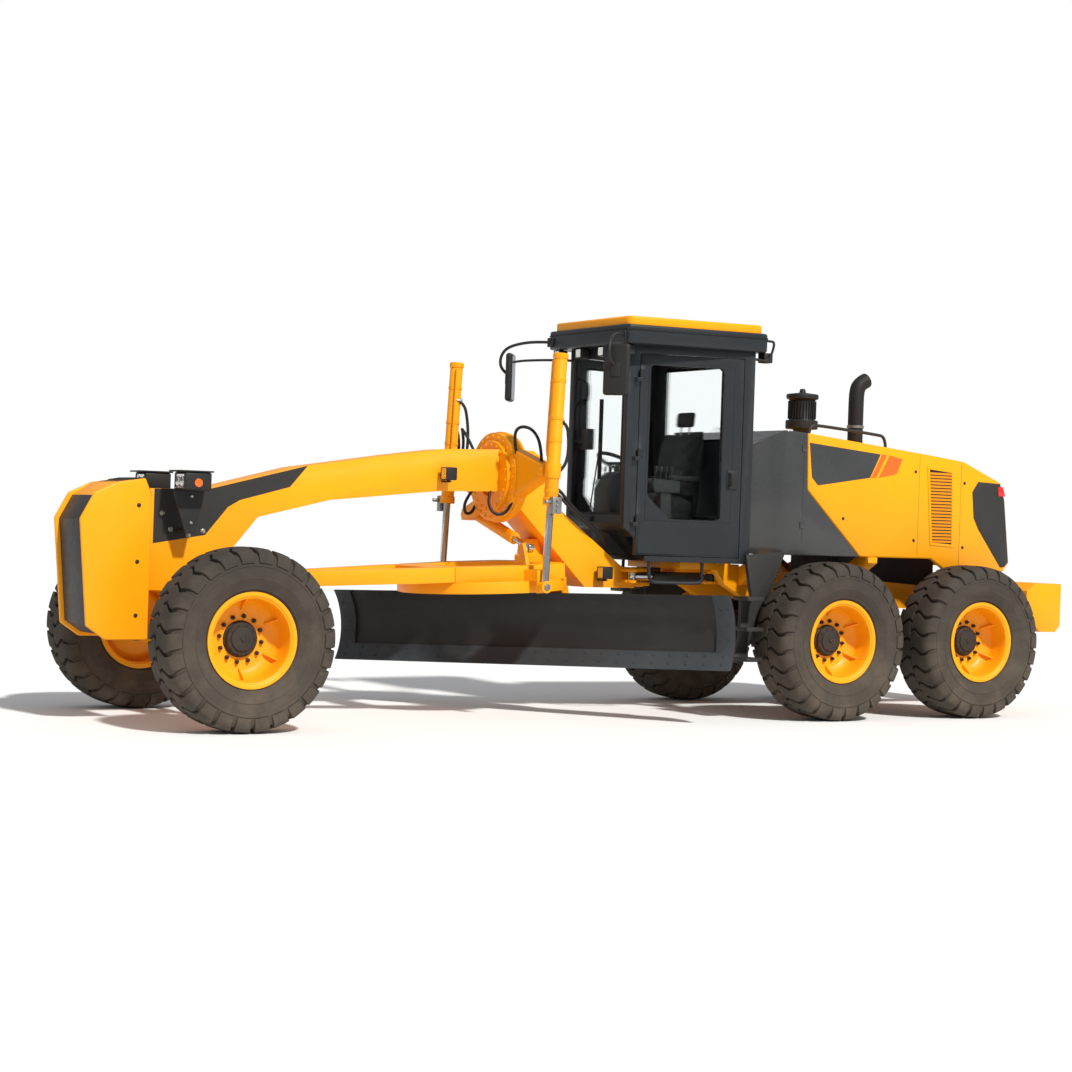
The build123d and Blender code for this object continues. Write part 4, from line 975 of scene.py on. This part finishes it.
TILT = Matrix.Translation(BALL) @ Matrix.Rotation(
    math.radians(DRAWBAR_PITCH), 4, "Y") @ Matrix.Translation(-Vector(BALL))
RING_FRAME = TILT @ Matrix.Translation((RING_X, 0, 0))
BLADE_FRAME = RING_FRAME @ Matrix.Rotation(math.radians(-BLADE_ANGLE), 4, "Z")
FACE_RADIUS = 0.4413
FACE_CENTRE = (-0.0087, 0.5605)


def face_y(z):
    """The board's concave face at a height, in the blade's own frame."""
    return FACE_CENTRE[0] - math.sqrt(FACE_RADIUS ** 2 - (z - FACE_CENTRE[1]) ** 2)


def face_bolt(x, height):
    """A round head on the board's face."""
    foot = Vector((x, face_y(height) - 0.003, height))
    way = Vector((0, FACE_CENTRE[0] - foot.y, FACE_CENTRE[1] - height)).normalized()
    return rod("bolt", foot, foot + way * 0.007, 0.013, 0.002, 12)


class GRADER_OT_blade(bpy.types.Operator):
    """Adds the bolts and ribs of the blade, the ring's teeth and the turning gear"""
    bl_idname = "grader.blade"
    bl_label = "Blade and circle"

    def execute(self, context):
        start, end = BLADE_ENDS
        pitch = (end - start - 0.16) / 23
        heads = [
            face_bolt(
                start + 0.08 + step * pitch, height) for height in (0.303, 0.368) for step in range(24)]
        for x in (start + 0.04, start + 0.11, end - 0.11, end - 0.04):
            heads += [face_bolt(x, height) for height in (0.50, 0.62, 0.74)]
        bolts = paint(moved(joined("blade_bolts", heads), BLADE_FRAME), "edge_steel")
        ribs = []
        for x in (-1.60, -0.90, 0.45, 1.15):
            low = [(face_y(z) - 0.043, z) for z in (0.30, 0.38, 0.44)]
            rib = outline("rib", "X", [
                low[0], (low[0][0] - 0.03, 0.32), (low[1][0] - 0.05, 0.39), (-0.560, 0.454),
                (low[2][0], 0.454), low[1]], x, x + 0.016, 0.002, 1)
            ribs.append(rib)
        board = paint(moved(joined("blade_ribs", ribs), BLADE_FRAME), "blade_steel")
        group("blade_details", [bolts, board], "blade", "edge_steel")
        teeth = []
        for tooth in range(64):
            wedge = outline("tooth", "Z", [
                (0.562, -0.019), (0.562, 0.019), (0.527, 0.009), (0.527, -0.009)], 0.907, 0.998)
            teeth.append(moved(wedge, Matrix.Rotation(math.tau * tooth / 64, 4, "Z")))
        ring = paint(moved(joined("circle_teeth", teeth), RING_FRAME), "bare_steel")
        fit(ring, "circle")
        parts = [
            spun("pinion", [
                (0.0, 0.912), (0.062, 0.912), (0.062, 0.996), (0.0, 0.996)], 32, (0.448, 0, 0), "Z"),
            spun("case", [
                (0.0, 1.118), (0.118, 1.118), (0.122, 1.124), (0.122, 1.176), (0.100, 1.190), (0.088, 1.30),
                (0.080, 1.312), (0.0, 1.312)], 56, (0.400, 0, 0), "Z"),
            bolt_ring("bolt", (0.400, 0, 1.174), "Z", 0.108, 10, 0.009, 0.010)]
        gear = joined("turning_gear", [paint(part, "yellow_paint") for part in parts])
        moved(gear, TILT @ Matrix.Translation((0.24, 0, 0)))
        fit(gear, "drawbar")
        return {"FINISHED"}


# Rear body

SHELL_SIDE = [
    (-1.135, 1.389), (-2.252, 1.389), (-1.651, 1.948), (-1.636, 2.441), (-1.425, 2.458), (-1.310, 2.400),
    (-1.135, 2.330)]
SHELL_PLAN = [
    (-1.130, 0.640), (-1.200, 0.652), (-1.300, 0.690), (-1.372, 0.738), (-1.430, 0.775), (-1.500, 0.793),
    (-1.580, 0.800), (-2.300, 0.800)]


class GRADER_OT_shell(bpy.types.Operator):
    """Builds the dark shell with its round corners"""
    bl_idname = "grader.shell"
    bl_label = "Hood shell"

    def execute(self, context):
        side = outline("shell_built", "Y", SHELL_SIDE, -0.9, 0.9)
        ring = SHELL_PLAN + [(x, -y) for x, y in reversed(SHELL_PLAN)]
        shell = cut(side, outline("plan", "Z", ring, 1.0, 2.8), "INTERSECT")
        rounded(shell, 0.016, 3, 30)
        paint(shell, "shell_paint")
        smooth(shell, 40)
        fit(shell, "chassis")
        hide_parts("hood_shell")
        seam = [paint(block("seam", (-1.600, HOOD_SKIN, 1.50), (-1.597, 0.8006, 2.42)), "seal_rubber")]
        for z in (1.62, 2.28):
            add(seam, "shell_paint", block(
                "hinge", (-1.625, HOOD_SKIN, z), (-1.575, 0.808, z + 0.06), 0.003))
        add(seam, "dark_plastic", rod("filler", (-1.42, 0, 2.44), (-1.42, 0, 2.478), 0.055, 0.006, 40))
        pair("shell_trim", seam, "chassis", "charcoal_paint")
        return {"FINISHED"}


DECAL = [(-1.655, 2.361), (-2.451, 2.296), (-2.339, 2.085), (-1.760, 1.996), (-1.690, 2.064)]
STRIPES = [
    ("stripe_paint", [(-2.468, 2.297), (-2.524, 2.293), (-2.406, 2.087), (-2.350, 2.085)]),
    ("stripe_paint", [(-2.553, 2.291), (-2.704, 2.266), (-2.649, 2.143), (-2.615, 2.123), (-2.436, 2.088)])]
TAIL = [
    (-3.605, 2.099), (-3.538, 2.005), (-3.563, 1.771), (-3.625, 1.666), (-3.905, 1.329), (-3.955, 1.335),
    (-4.000, 1.378), (-3.927, 1.945), (-3.900, 2.020), (-3.868, 2.090)]
LOUVRE = [(-2.995, 2.212), (-3.303, 2.187), (-3.330, 1.500), (-3.050, 1.513)]
LOUVRE_GAP = [(-3.020, 2.188), (-3.282, 2.166), (-3.306, 1.524), (-3.072, 1.536)]


class GRADER_OT_hood(bpy.types.Operator):
    """Adds the decals, louvres, tail panel, tail lamps, grille and latches of the hood"""
    bl_idname = "grader.hood"
    bl_label = "Hood"

    def execute(self, context):
        parts = [paint(outline("decal", "Y", DECAL, HOOD_SKIN, 0.8012, 0.0005, 1), "shell_paint")]
        for material, points in STRIPES:
            add(parts, material, outline("stripe", "Y", points, HOOD_SKIN, 0.8012, 0.0005, 1))
        add(parts, "charcoal_paint", outline("tail", "Y", TAIL, HOOD_SKIN, 0.8035, 0.0012, 2))
        # A black sheet behind the louvre slats: painted shade of the louvre's recess
        add(parts, "seal_rubber", outline("dark", "Y", LOUVRE_GAP, HOOD_SKIN, 0.8008))
        add(parts, "yellow_paint", frame_of("rim", "Y", LOUVRE, LOUVRE_GAP, HOOD_SKIN, 0.807, 0.002))
        # The slats are painted a darker orange than the yellow: painted shade of the recessed mesh
        for slat in range(22):
            z = 1.537 + slat * 0.0288
            rear, front = -3.3055 + slat * 0.00105, -3.071 + slat * 0.0022
            blade = outline("slat", "Y", [
                (rear, z), (front, z), (front, z + 0.0205), (rear, z + 0.0205)], 0.8005, 0.8058, 0.0015, 1)
            add(parts, "louvre_shade_paint", blade)
        for spot in ((-2.86, 2.16), (-2.86, 1.55), (-3.44, 2.08), (-3.44, 1.50), (-2.05, 1.72)):
            foot = Vector((spot[0], 0.800, spot[1]))
            add(parts, "dark_plastic", rod("latch", foot, foot + Vector((0, 0.004, 0)), 0.014, 0.001, 24))
        for x, low, high in ((-2.905, 1.42, 2.318), (-3.400, 1.32, 2.255)):
            add(parts, "seal_rubber", block(
                "seam", (x - 0.0015, HOOD_SKIN, low), (x + 0.0015, 0.8006, high)))
        lamp = [(-3.842, 2.062), (-3.905, 2.062), (-3.938, 1.977), (-3.852, 1.977)]
        add(parts, "lamp_red", outline("tail_lamp", "Y", lamp, 0.66, 0.8085, 0.004, 2))
        pair("hood_marks", parts, "chassis", "charcoal_paint")
        plate = [(-3.930, 1.900), (-3.951, 1.900), (-4.024, 1.372), (-4.000, 1.372)]
        grille = [paint(outline("grille", "Y", plate, -0.600, 0.600, 0.003), "charcoal_paint")]
        for slat in range(14):
            z = 1.410 + slat * 0.034
            x = -4.0175 + (z - 1.372) * 0.1383
            points = [(x + 0.01, z), (x - 0.016, z - 0.006), (x - 0.016, z + 0.006), (x + 0.006, z + 0.020)]
            add(grille, "dark_plastic", outline("slat", "Y", points, -0.565, 0.565, 0.0015, 1))
        group("rear_grille", grille, "chassis", "charcoal_paint")
        rail = []
        for side in (-1, 1):
            rail.append(pipe("rail", [
                (-1.75, side * 0.66, 2.41), (-1.75, side * 0.66, 2.52), (-1.90, side * 0.66, 2.52),
                (-2.50, side * 0.66, 2.475), (-2.62, side * 0.66, 2.46), (-2.62, side * 0.66, 2.33)
            ], 0.014))
        fit(paint(joined("hood_rails", rail), "charcoal_paint"), "chassis")
        return {"FINISHED"}


class GRADER_OT_stacks(bpy.types.Operator):
    """Builds the hollow exhaust stack and the air precleaner"""
    bl_idname = "grader.stacks"
    bl_label = "Stacks"

    def execute(self, context):
        flow_line = [
            (STACK_X, 0, 2.33), (STACK_X, 0, 2.60), (STACK_X, 0, 2.78), (-2.818, 0, 2.90),
            (-2.850, 0, 2.97), (-2.925, 0, 3.005)]
        piece = flow("stack", flow_line, 0.070, 8)
        piece.data.use_fill_caps = False
        piece.data.splines[0].resolution_u = 10
        pick(piece)
        bpy.ops.object.convert(target="MESH")
        stack = new_piece("stack")
        recalculate(stack)
        thick = stack.modifiers.new("Wall", "SOLIDIFY")
        thick.thickness = 0.007
        thick.offset = -1
        apply_modifiers(stack)
        parts = [paint(stack, "stack_black")]
        foot = [(0.0, 2.318), (0.118, 2.318), (0.118, 2.334), (0.080, 2.425), (0.072, 2.430), (0.0, 2.430)]
        add(parts, "stack_black", spun("foot", foot, 56, (STACK_X, 0, 0), "Z"))
        clamp = [(0.0705, 2.560), (0.078, 2.560), (0.078, 2.585), (0.0705, 2.585)]
        add(parts, "bare_steel", spun("clamp", clamp, 56, (STACK_X, 0, 0), "Z"))
        stacked = group("exhaust_built", parts, "chassis", "stack_steel")
        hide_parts("exhaust_stack")
        bowl = [
            (0.0, 2.362), (0.072, 2.362), (0.072, 2.500), (0.078, 2.515), (0.140, 2.520), (0.146, 2.528),
            (0.146, 2.590), (0.140, 2.598), (0.120, 2.602), (0.115, 2.610), (0.115, 2.775), (0.120, 2.782),
            (0.138, 2.790), (0.145, 2.798), (0.145, 2.824), (0.138, 2.834), (0.050, 2.846), (0.030, 2.850),
            (0.026, 2.872), (0.018, 2.884), (0.0, 2.884)]
        cleaner = paint(spun("bowl", bowl, 72, (CLEANER_X, 0, 0), "Z"), "dark_plastic")
        parts = [cleaner]
        for fin in range(30):
            vane = block("vane", (0.112, -0.0035, 2.612), (0.128, 0.0035, 2.772), 0.001, 1)
            turn = Matrix.Translation((CLEANER_X, 0, 0)) @ Matrix.Rotation(math.tau * fin / 30, 4, "Z")
            add(parts, "dark_plastic", moved(vane, turn))
        band = [(0.0725, 2.440), (0.079, 2.440), (0.079, 2.462), (0.0725, 2.462)]
        add(parts, "bare_steel", spun("band", band, 48, (CLEANER_X, 0, 0), "Z"))
        fitted = group("precleaner_built", parts, "chassis", "interior_plastic")
        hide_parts("air_precleaner")
        return {"FINISHED"}


# Cab

def cab_half(x):
    """Half the cab's width, which narrows towards the front."""
    return CAB_REAR_HALF - CAB_TAPER * (x - CAB_REAR_X)


def side_piece(name, points, inner, outer, edge=0.0, segments=1):
    """A plate of (x, z) points on the cab's left side, between two offsets in from its outside."""
    plate = outline(name, "Y", points, -inner, -outer, edge, segments)
    taper = Matrix(((1, 0, 0, 0), (-CAB_TAPER, 1, 0, cab_half(0)), (0, 0, 1, 0), (0, 0, 0, 1)))
    return moved(plate, taper)


class GRADER_OT_roof(bpy.types.Operator):
    """Builds the dark eave with its yellow cap, roof lamps and the rear loop"""
    bl_idname = "grader.roof"
    bl_label = "Cab roof"

    def execute(self, context):
        eave_plan = [
            (0.150, 0.560), (0.142, 0.600), (0.110, 0.625), (-1.130, 0.792), (-1.180, 0.780),
            (-1.200, 0.740)]
        cap_plan = [
            (0.108, 0.530), (0.096, 0.566), (0.066, 0.590), (-1.110, 0.745), (-1.150, 0.735),
            (-1.165, 0.700)]
        eave_ring = eave_plan + [(x, -y) for x, y in reversed(eave_plan)]
        cap_ring = cap_plan + [(x, -y) for x, y in reversed(cap_plan)]
        eave = paint(outline("eave", "Z", eave_ring, 3.1003, 3.2615, 0.024, 4), "cab_paint")
        cap = paint(outline("cap", "Z", cap_ring, 3.245, 3.334, 0.030, 5), "yellow_paint")
        lip = paint(frame_of(
            "lip", "Z", [(x * 1.001, y * 1.008) for x, y in eave_ring],
            [(x, y * 0.97) for x, y in cap_ring], 3.214, 3.224), "seal_rubber")
        roof = joined("roof_built", [eave, cap, lip])
        smooth(roof, 35)
        fit(roof, "chassis")
        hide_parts("cab_roof")
        parts = []
        for y in (0.175, 0.520):
            lamp_case(parts, (0.030, y - 0.050, 3.012), (0.122, y + 0.050, 3.096), 0.001)
            add(parts, "dark_plastic", block(
                "bracket", (0.055, y - 0.012, 3.090), (0.085, y + 0.012, 3.102)))
        lamp_case(parts, (-1.275, 0.640, 3.020), (-1.185, 0.740, 3.104), 0.001, facing=-1)
        add(parts, "dark_plastic", pipe("rear_loop", [
            (-1.085, 0.760, 3.200), (-1.230, 0.772, 3.205), (-1.262, 0.770, 3.190), (-1.250, 0.760, 3.110),
            (-1.215, 0.745, 3.035), (-1.150, 0.735, 3.035), (-1.060, 0.715, 3.050)], 0.011))
        pair("roof_fittings", parts, "chassis", "lamp_black")
        return {"FINISHED"}


class GRADER_OT_cab_fittings(bpy.types.Operator):
    """Adds seals, the doors' rear bands and handles, the wiper, rails, cowl and levers"""
    bl_idname = "grader.cab_fittings"
    bl_label = "Cab fittings"

    def execute(self, context):
        window = [(-0.167, 1.641), (-0.913, 1.641), (-0.913, 2.963), (-0.167, 2.963)]
        clear = [
            (-0.185, 1.850), (-0.385, 1.659), (-0.800, 1.659), (-0.822, 1.680), (-0.822, 2.925),
            (-0.800, 2.945), (-0.205, 2.945), (-0.185, 2.925)]
        for side, label in ((1, "left"), (-1, "right")):
            band = cut(side_piece("band", window, 0.0165, -0.0012), side_piece("hole", clear, 0.030, -0.020))
            parts = [paint(rounded(band, 0.0015, 1), "cab_paint")]
            inner = cut(side_piece("inner", window, 0.0395, 0.0245), side_piece("hole", clear, 0.060, 0.0))
            add(parts, "seal_rubber", inner)
            low = [(-0.115, 1.365), (-0.975, 1.365), (-0.975, 1.600), (-0.115, 1.600)]
            add(parts, "cab_paint", side_piece("kick", low, 0.004, -0.004, 0.002))
            add(parts, "dark_plastic", side_piece("plate", [
                (-0.870, 1.930), (-0.960, 1.930), (-0.960, 2.090), (-0.870, 2.090)
            ], 0.002, -0.010, 0.004, 2))
            handle = pipe("handle", [
                (-0.885, 0.0, 1.955), (-0.885, 0.045, 1.960), (-0.890, 0.050, 2.000),
                (-0.890, 0.045, 2.060), (-0.885, 0.0, 2.066)], 0.009)
            handle = moved(handle, Matrix.Translation((0, cab_half(-0.885), 0)))
            add(parts, "dark_plastic", handle)
            grip = pipe("grip", [
                (-0.200, 0, 1.98), (-0.200, -0.045, 1.98), (-0.200, -0.050, 2.05), (-0.200, -0.050, 2.60),
                (-0.200, -0.045, 2.68), (-0.200, 0, 2.68)], 0.011)
            grip = moved(grip, Matrix.Translation((0.052, cab_half(-0.148) - 0.030, 0)))
            add(parts, "dark_plastic", grip)
            whole = joined("door_fittings_" + label, parts)
            if side < 0:
                moved(whole, MIRROR)
                whole.data.flip_normals()
            fit(whole, "door_" + label)
        parts = []
        screen = [(-0.389, 1.681), (0.389, 1.681), (0.389, 3.029), (-0.389, 3.029)]
        shrunk = [(-0.370, 1.700), (0.370, 1.700), (0.370, 3.010), (-0.370, 3.010)]
        add(parts, "seal_rubber", frame_of("seal", "X", screen, shrunk, -0.0095, 0.012))
        rear = [(-0.559, 2.351), (0.559, 2.351), (0.559, 2.999), (-0.559, 2.999)]
        rear_in = [(-0.540, 2.370), (0.540, 2.370), (0.540, 2.980), (-0.540, 2.980)]
        add(parts, "seal_rubber", frame_of("seal", "X", rear, rear_in, -1.092, -1.0705))
        add(parts, "dark_plastic", rod(
            "wiper_hub", (0.008, -0.05, 1.640), (0.040, -0.05, 1.640), 0.022, 0.003, 24))
        add(parts, "dark_plastic", pipe("wiper_arm", [
            (0.036, -0.05, 1.640), (0.036, 0.02, 1.95), (0.030, 0.09, 2.30)], 0.006))
        add(parts, "seal_rubber", block("wiper_blade", (-0.006, 0.055, 1.98), (0.030, 0.067, 2.66), 0.002))
        for side in (-1, 1):
            frame_tube = [
                (-0.235, side * 0.475, 1.330), (-0.235, side * 0.490, 1.200), (-0.245, side * 0.500, 1.135),
                (-0.320, side * 0.510, 1.125), (-0.640, side * 0.590, 1.125), (-0.700, side * 0.598, 1.135),
                (-0.705, side * 0.600, 1.200), (-0.705, side * 0.595, 1.330)]
            add(parts, "cab_paint", pipe("guard", frame_tube, 0.015))
            loop = [
                (-0.034, side * 0.395, 2.845), (-0.130, side * 0.400, 2.835), (-0.155, side * 0.405, 2.800),
                (-0.155, side * 0.405, 2.690), (-0.130, side * 0.400, 2.640), (-0.034, side * 0.395, 2.630)]
            add(parts, "dark_plastic", pipe("loop", loop, 0.011))
        group("cab_trim", parts, "chassis", "cab_grey")
        cowl = outline("cowl", "Y", [
            (-0.460, CAB_FLOOR), (-0.050, CAB_FLOOR), (-0.045, 1.900), (-0.100, 2.010), (-0.170, 2.055),
            (-0.270, 2.040), (-0.330, 1.700), (-0.440, 1.560)], -0.115, 0.115, 0.022, 3)
        parts = [paint(cowl, "inside_plastic")]
        for side in (-1, 1):
            pod = outline(
                "pod", "Y",
                [(-0.560, 1.880), (-0.300, 1.880), (-0.270, 1.960), (-0.290, 2.000), (-0.560, 1.985)],
                side * LEVER_Y - 0.055, side * LEVER_Y + 0.055, 0.014, 3)
            add(parts, "inside_plastic", pod)
            post = outline(
                "post", "Y", [(-0.520, CAB_FLOOR), (-0.400, CAB_FLOOR), (-0.370, 1.890), (-0.480, 1.890)],
                side * LEVER_Y - 0.035, side * LEVER_Y + 0.035, 0.010, 2)
            add(parts, "inside_plastic", post)
            for lever in range(4):
                x = -0.330 - 0.055 * lever
                add(parts, "dark_plastic", rod(
                    "lever", (x, side * LEVER_Y, 1.980), (x - 0.010, side * 0.390, 2.070), 0.006, 0.001, 16
                ))
                add(parts, "dark_plastic", rod(
                    "knob", (x - 0.009, side * 0.390, 2.062), (x - 0.013, side * 0.388, 2.105), 0.014,
                    0.006, 24))
        add(parts, "dark_plastic", block(
            "display", (-0.120, -0.370, 2.240), (-0.050, -0.235, 2.420), 0.010, 3))
        add(parts, "shell_paint", block("face", (-0.1215, -0.358, 2.262), (-0.1195, -0.247, 2.402)))
        add(parts, "dark_plastic", rod(
            "stalk", (-0.060, -0.310, 2.300), (-0.030, -0.385, 2.300), 0.012, 0, 20))
        add(parts, "inside_plastic", block(
            "heater", (-1.045, -0.480, CAB_FLOOR), (-0.960, 0.480, 1.700), 0.014, 3))
        group("cab_inside", parts, "chassis", "interior_plastic")
        return {"FINISHED"}


SEAT_PADS = [
    ("seat_cushion", [
        (-0.872, 1.716), (-0.420, 1.716), (-0.402, 1.750), (-0.410, 1.806), (-0.860, 1.812)], 0.236),
    ("seat_back", [
        (-0.862, 1.835), (-0.772, 1.835), (-0.760, 1.940), (-0.800, 2.180), (-0.852, 2.430),
        (-0.938, 2.430), (-0.900, 2.160)], 0.226),
    ("seat_head", [
        (-0.930, 2.466), (-0.882, 2.466), (-0.886, 2.560), (-0.898, 2.600), (-0.944, 2.600)], 0.118)]


PAD_FRAMES = 16


def soft_pad(name, points, half, pressure):
    """A pad blown out from its outline by a cloth simulation."""
    piece = outline(name, "Y", points, -half, half, 0.018, 3)
    mesh = piece.modifiers.new("Skin", "REMESH")
    mesh.mode = "VOXEL"
    mesh.voxel_size = 0.014
    apply_modifiers(piece)
    cloth = piece.modifiers.new("Fill", "CLOTH")
    cloth.settings.use_pressure = True
    cloth.settings.uniform_pressure_force = pressure
    cloth.settings.effector_weights.gravity = 0
    cloth.settings.tension_stiffness = 60
    cloth.settings.compression_stiffness = 60
    cloth.settings.bending_stiffness = 4
    cloth.settings.quality = 6
    cloth.point_cache.frame_end = PAD_FRAMES
    for step in range(1, PAD_FRAMES + 1):
        bpy.context.scene.frame_set(step)
    apply_modifiers(piece)
    bpy.context.scene.frame_set(1)
    even = piece.modifiers.new("Even", "SUBSURF")
    even.levels = 1
    apply_modifiers(piece)
    return paint(piece, "seat_cloth")


class GRADER_OT_seat(bpy.types.Operator):
    """Builds the seat: padded cushion, back and head rest on a bellows base"""
    bl_idname = "grader.seat"
    bl_label = "Operator seat"

    def execute(self, context):
        pressure = context.scene.grader_sizes.pad_pressure
        for name, points, half in SEAT_PADS:
            pad = soft_pad(name, points, half, pressure)
            smooth(pad, 60)
            fit(pad, "chassis")
        parts = [paint(block(
            "plinth", (-0.810, -0.170, CAB_FLOOR), (-0.490, 0.170, 1.420), 0.010), "dark_plastic")]
        for fold in range(6):
            wide = 0.012 if fold % 2 else 0.0
            low = 1.418 + fold * 0.036
            add(parts, "seal_rubber", block(
                "bellows", (-0.800 + wide, -0.160 + wide, low), (-0.500 - wide, 0.160 - wide, low + 0.037),
                0.008))
        add(parts, "dark_plastic", block("pan", (-0.870, -0.225, 1.632), (-0.430, 0.225, 1.714), 0.014, 3))
        shell = outline("shell", "Y", [
            (-0.905, 1.700), (-0.868, 1.700), (-0.872, 1.900), (-0.905, 2.160), (-0.943, 2.430),
            (-0.955, 2.430), (-0.950, 2.160)], -0.215, 0.215, 0.008, 3)
        add(parts, "dark_plastic", shell)
        for side in (-1, 1):
            add(parts, "bare_steel", rod(
                "head_post", (-0.905, side * 0.060, 2.400), (-0.912, side * 0.060, 2.490), 0.007, 0, 16))
            rest = block(
                "arm_rest", (-0.860, side * 0.295 - 0.032, 1.985), (-0.560, side * 0.295 + 0.032, 2.035),
                0.016, 3)
            add(parts, "dark_plastic", rest)
            add(parts, "dark_plastic", rod(
                "rest_arm", (-0.850, side * 0.200, 1.995), (-0.850, side * 0.295, 2.010), 0.016, 0.002, 20))
        seat = group("seat_base", parts, "chassis", "interior_plastic")
        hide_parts("operator_seat")
        return {"FINISHED"}


class GRADER_OT_mirrors(bpy.types.Operator):
    """Builds the mirrors, turned towards the operator, on their bent arms"""
    bl_idname = "grader.mirrors"
    bl_label = "Mirrors"

    def execute(self, context):
        head = block("head", (-0.030, -0.110, -0.210), (0.030, 0.110, 0.210), 0.026, 5)
        paint(head, "dark_plastic")
        face = paint(block(
            "glass", (-0.0315, -0.092, -0.190), (-0.028, 0.092, 0.190), 0.001, 1), "mirror_face")
        rib = paint(block("rib", (0.026, -0.040, -0.060), (0.040, 0.040, 0.060), 0.008, 3), "dark_plastic")
        whole = joined("mirror_left", [head, face, rib])
        moved(whole, Matrix.Translation((0.388, 0.840, 2.855)) @ Matrix.Rotation(math.radians(39), 4, "Z"))
        arms = [
            pipe("arm", [
                (0.135, 0.560, 3.165), (0.220, 0.640, 3.170), (0.340, 0.740, 3.155), (0.445, 0.830, 3.110),
                (0.485, 0.862, 3.020), (0.470, 0.862, 2.920), (0.405, 0.845, 2.880)], 0.013),
            pipe("brace", [
                (0.405, 0.842, 2.980), (0.350, 0.790, 3.000), (0.230, 0.660, 3.010), (0.110, 0.530, 3.012),
                (-0.005, 0.430, 3.010)], 0.011),
            block("foot", (0.1495, 0.520, 3.125), (0.162, 0.610, 3.205), 0.004)]
        for arm in arms:
            paint(arm, "dark_plastic")
        pair = both_sides(joined("mirrors_built", [whole] + arms), "mirrors_built")
        fit(pair, "chassis")
        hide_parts("mirrors")
        return {"FINISHED"}


class GRADER_OT_stage(bpy.types.Operator):
    """Sets the floor, the lights, the world and the camera"""
    bl_idname = "grader.stage"
    bl_label = "Stage"

    def execute(self, context):
        bpy.ops.mesh.primitive_circle_add(vertices=96, radius=90, fill_type="NGON", location=(0, 0, -0.002))
        floor = new_piece("floor")
        material = bpy.data.materials.new("pale_floor")
        material.use_nodes = True
        shader = material.node_tree.nodes["Principled BSDF"]
        shader.inputs["Base Color"].default_value = (0.86, 0.86, 0.86, 1)
        shader.inputs["Roughness"].default_value = 0.9
        floor.data.materials.append(material)
        world = bpy.data.worlds.new("studio")
        context.scene.world = world
        world.use_nodes = True
        tree = world.node_tree
        back = tree.nodes["Background"]
        path = node(tree, "ShaderNodeLightPath").outputs
        seen = maths(tree, "MAXIMUM", path["Is Camera Ray"], path["Is Transmission Ray"])
        tree.links.new(mixed(tree, seen, (0.93, 0.96, 1.0, 1), (1, 1, 1, 1)), back.inputs["Color"])
        tree.links.new(spread(tree, seen, 0.0, 1.0, SKY_STRENGTH, 1.0), back.inputs["Strength"])
        bpy.ops.object.light_add(type="SUN")
        sun = bpy.context.active_object
        sun.data.energy = SUN_STRENGTH
        sun.data.angle = math.radians(4)
        sun.data.color = (1.0, 0.97, 0.92)
        sun.rotation_euler = Vector(SUN_FROM).to_track_quat("Z", "Y").to_euler()
        yaw, pitch, roll = (math.radians(v) for v in (CAMERA_YAW, CAMERA_PITCH, CAMERA_ROLL))
        ahead = Vector((-math.sin(yaw) * math.cos(pitch), -math.cos(yaw) * math.cos(pitch), math.sin(pitch)))
        right = Vector((-math.cos(yaw), math.sin(yaw), 0))
        up = right.cross(ahead)
        across = right * math.cos(roll) + up * math.sin(roll)
        above = up * math.cos(roll) - right * math.sin(roll)
        bpy.ops.object.camera_add()
        camera = bpy.context.active_object
        camera.matrix_world = Matrix.Translation(CAMERA_PLACE) @ Matrix((
            across, above, -ahead)).transposed().to_4x4()
        camera.data.sensor_width = 36
        camera.data.lens = CAMERA_LENS
        camera.data.clip_end = 400
        context.scene.camera = camera
        context.scene.view_settings.view_transform = "Standard"
        return {"FINISHED"}


class GRADER_PT_panel(bpy.types.Panel):
    """Lists the dressing steps in the sidebar"""
    bl_idname = "GRADER_PT_panel"
    bl_label = "Motor grader"
    bl_space_type = "VIEW_3D"
    bl_region_type = "UI"
    bl_category = "Grader"

    def draw(self, context):
        for step in STEPS:
            self.layout.operator(step.bl_idname)
        for group in (context.scene.grader_sizes, context.scene.grader_colours):
            for name in group.__annotations__:
                self.layout.prop(group, name)


STEPS = [
    GRADER_OT_finishes, GRADER_OT_stage, GRADER_OT_plates, GRADER_OT_tyres, GRADER_OT_rims, GRADER_OT_nose,
    GRADER_OT_lamps, GRADER_OT_saddle, GRADER_OT_hydraulics, GRADER_OT_blade, GRADER_OT_shell,
    GRADER_OT_hood, GRADER_OT_stacks, GRADER_OT_roof, GRADER_OT_cab_fittings, GRADER_OT_seat,
    GRADER_OT_mirrors]
CLASSES = [GraderSizes, GraderColours, *STEPS, GRADER_PT_panel]


def register():
    for item in CLASSES:
        bpy.utils.register_class(item)
    bpy.types.Scene.grader_sizes = bpy.props.PointerProperty(type=GraderSizes)
    bpy.types.Scene.grader_colours = bpy.props.PointerProperty(type=GraderColours)


def unregister():
    del bpy.types.Scene.grader_colours
    del bpy.types.Scene.grader_sizes
    for item in reversed(CLASSES):
        bpy.utils.unregister_class(item)


def main():
    register()
    bpy.ops.object.select_all(action="DESELECT")
    for step in STEPS:
        group, action = step.bl_idname.split(".")
        getattr(getattr(bpy.ops, group), action)()


if __name__ == "__main__":
    main()
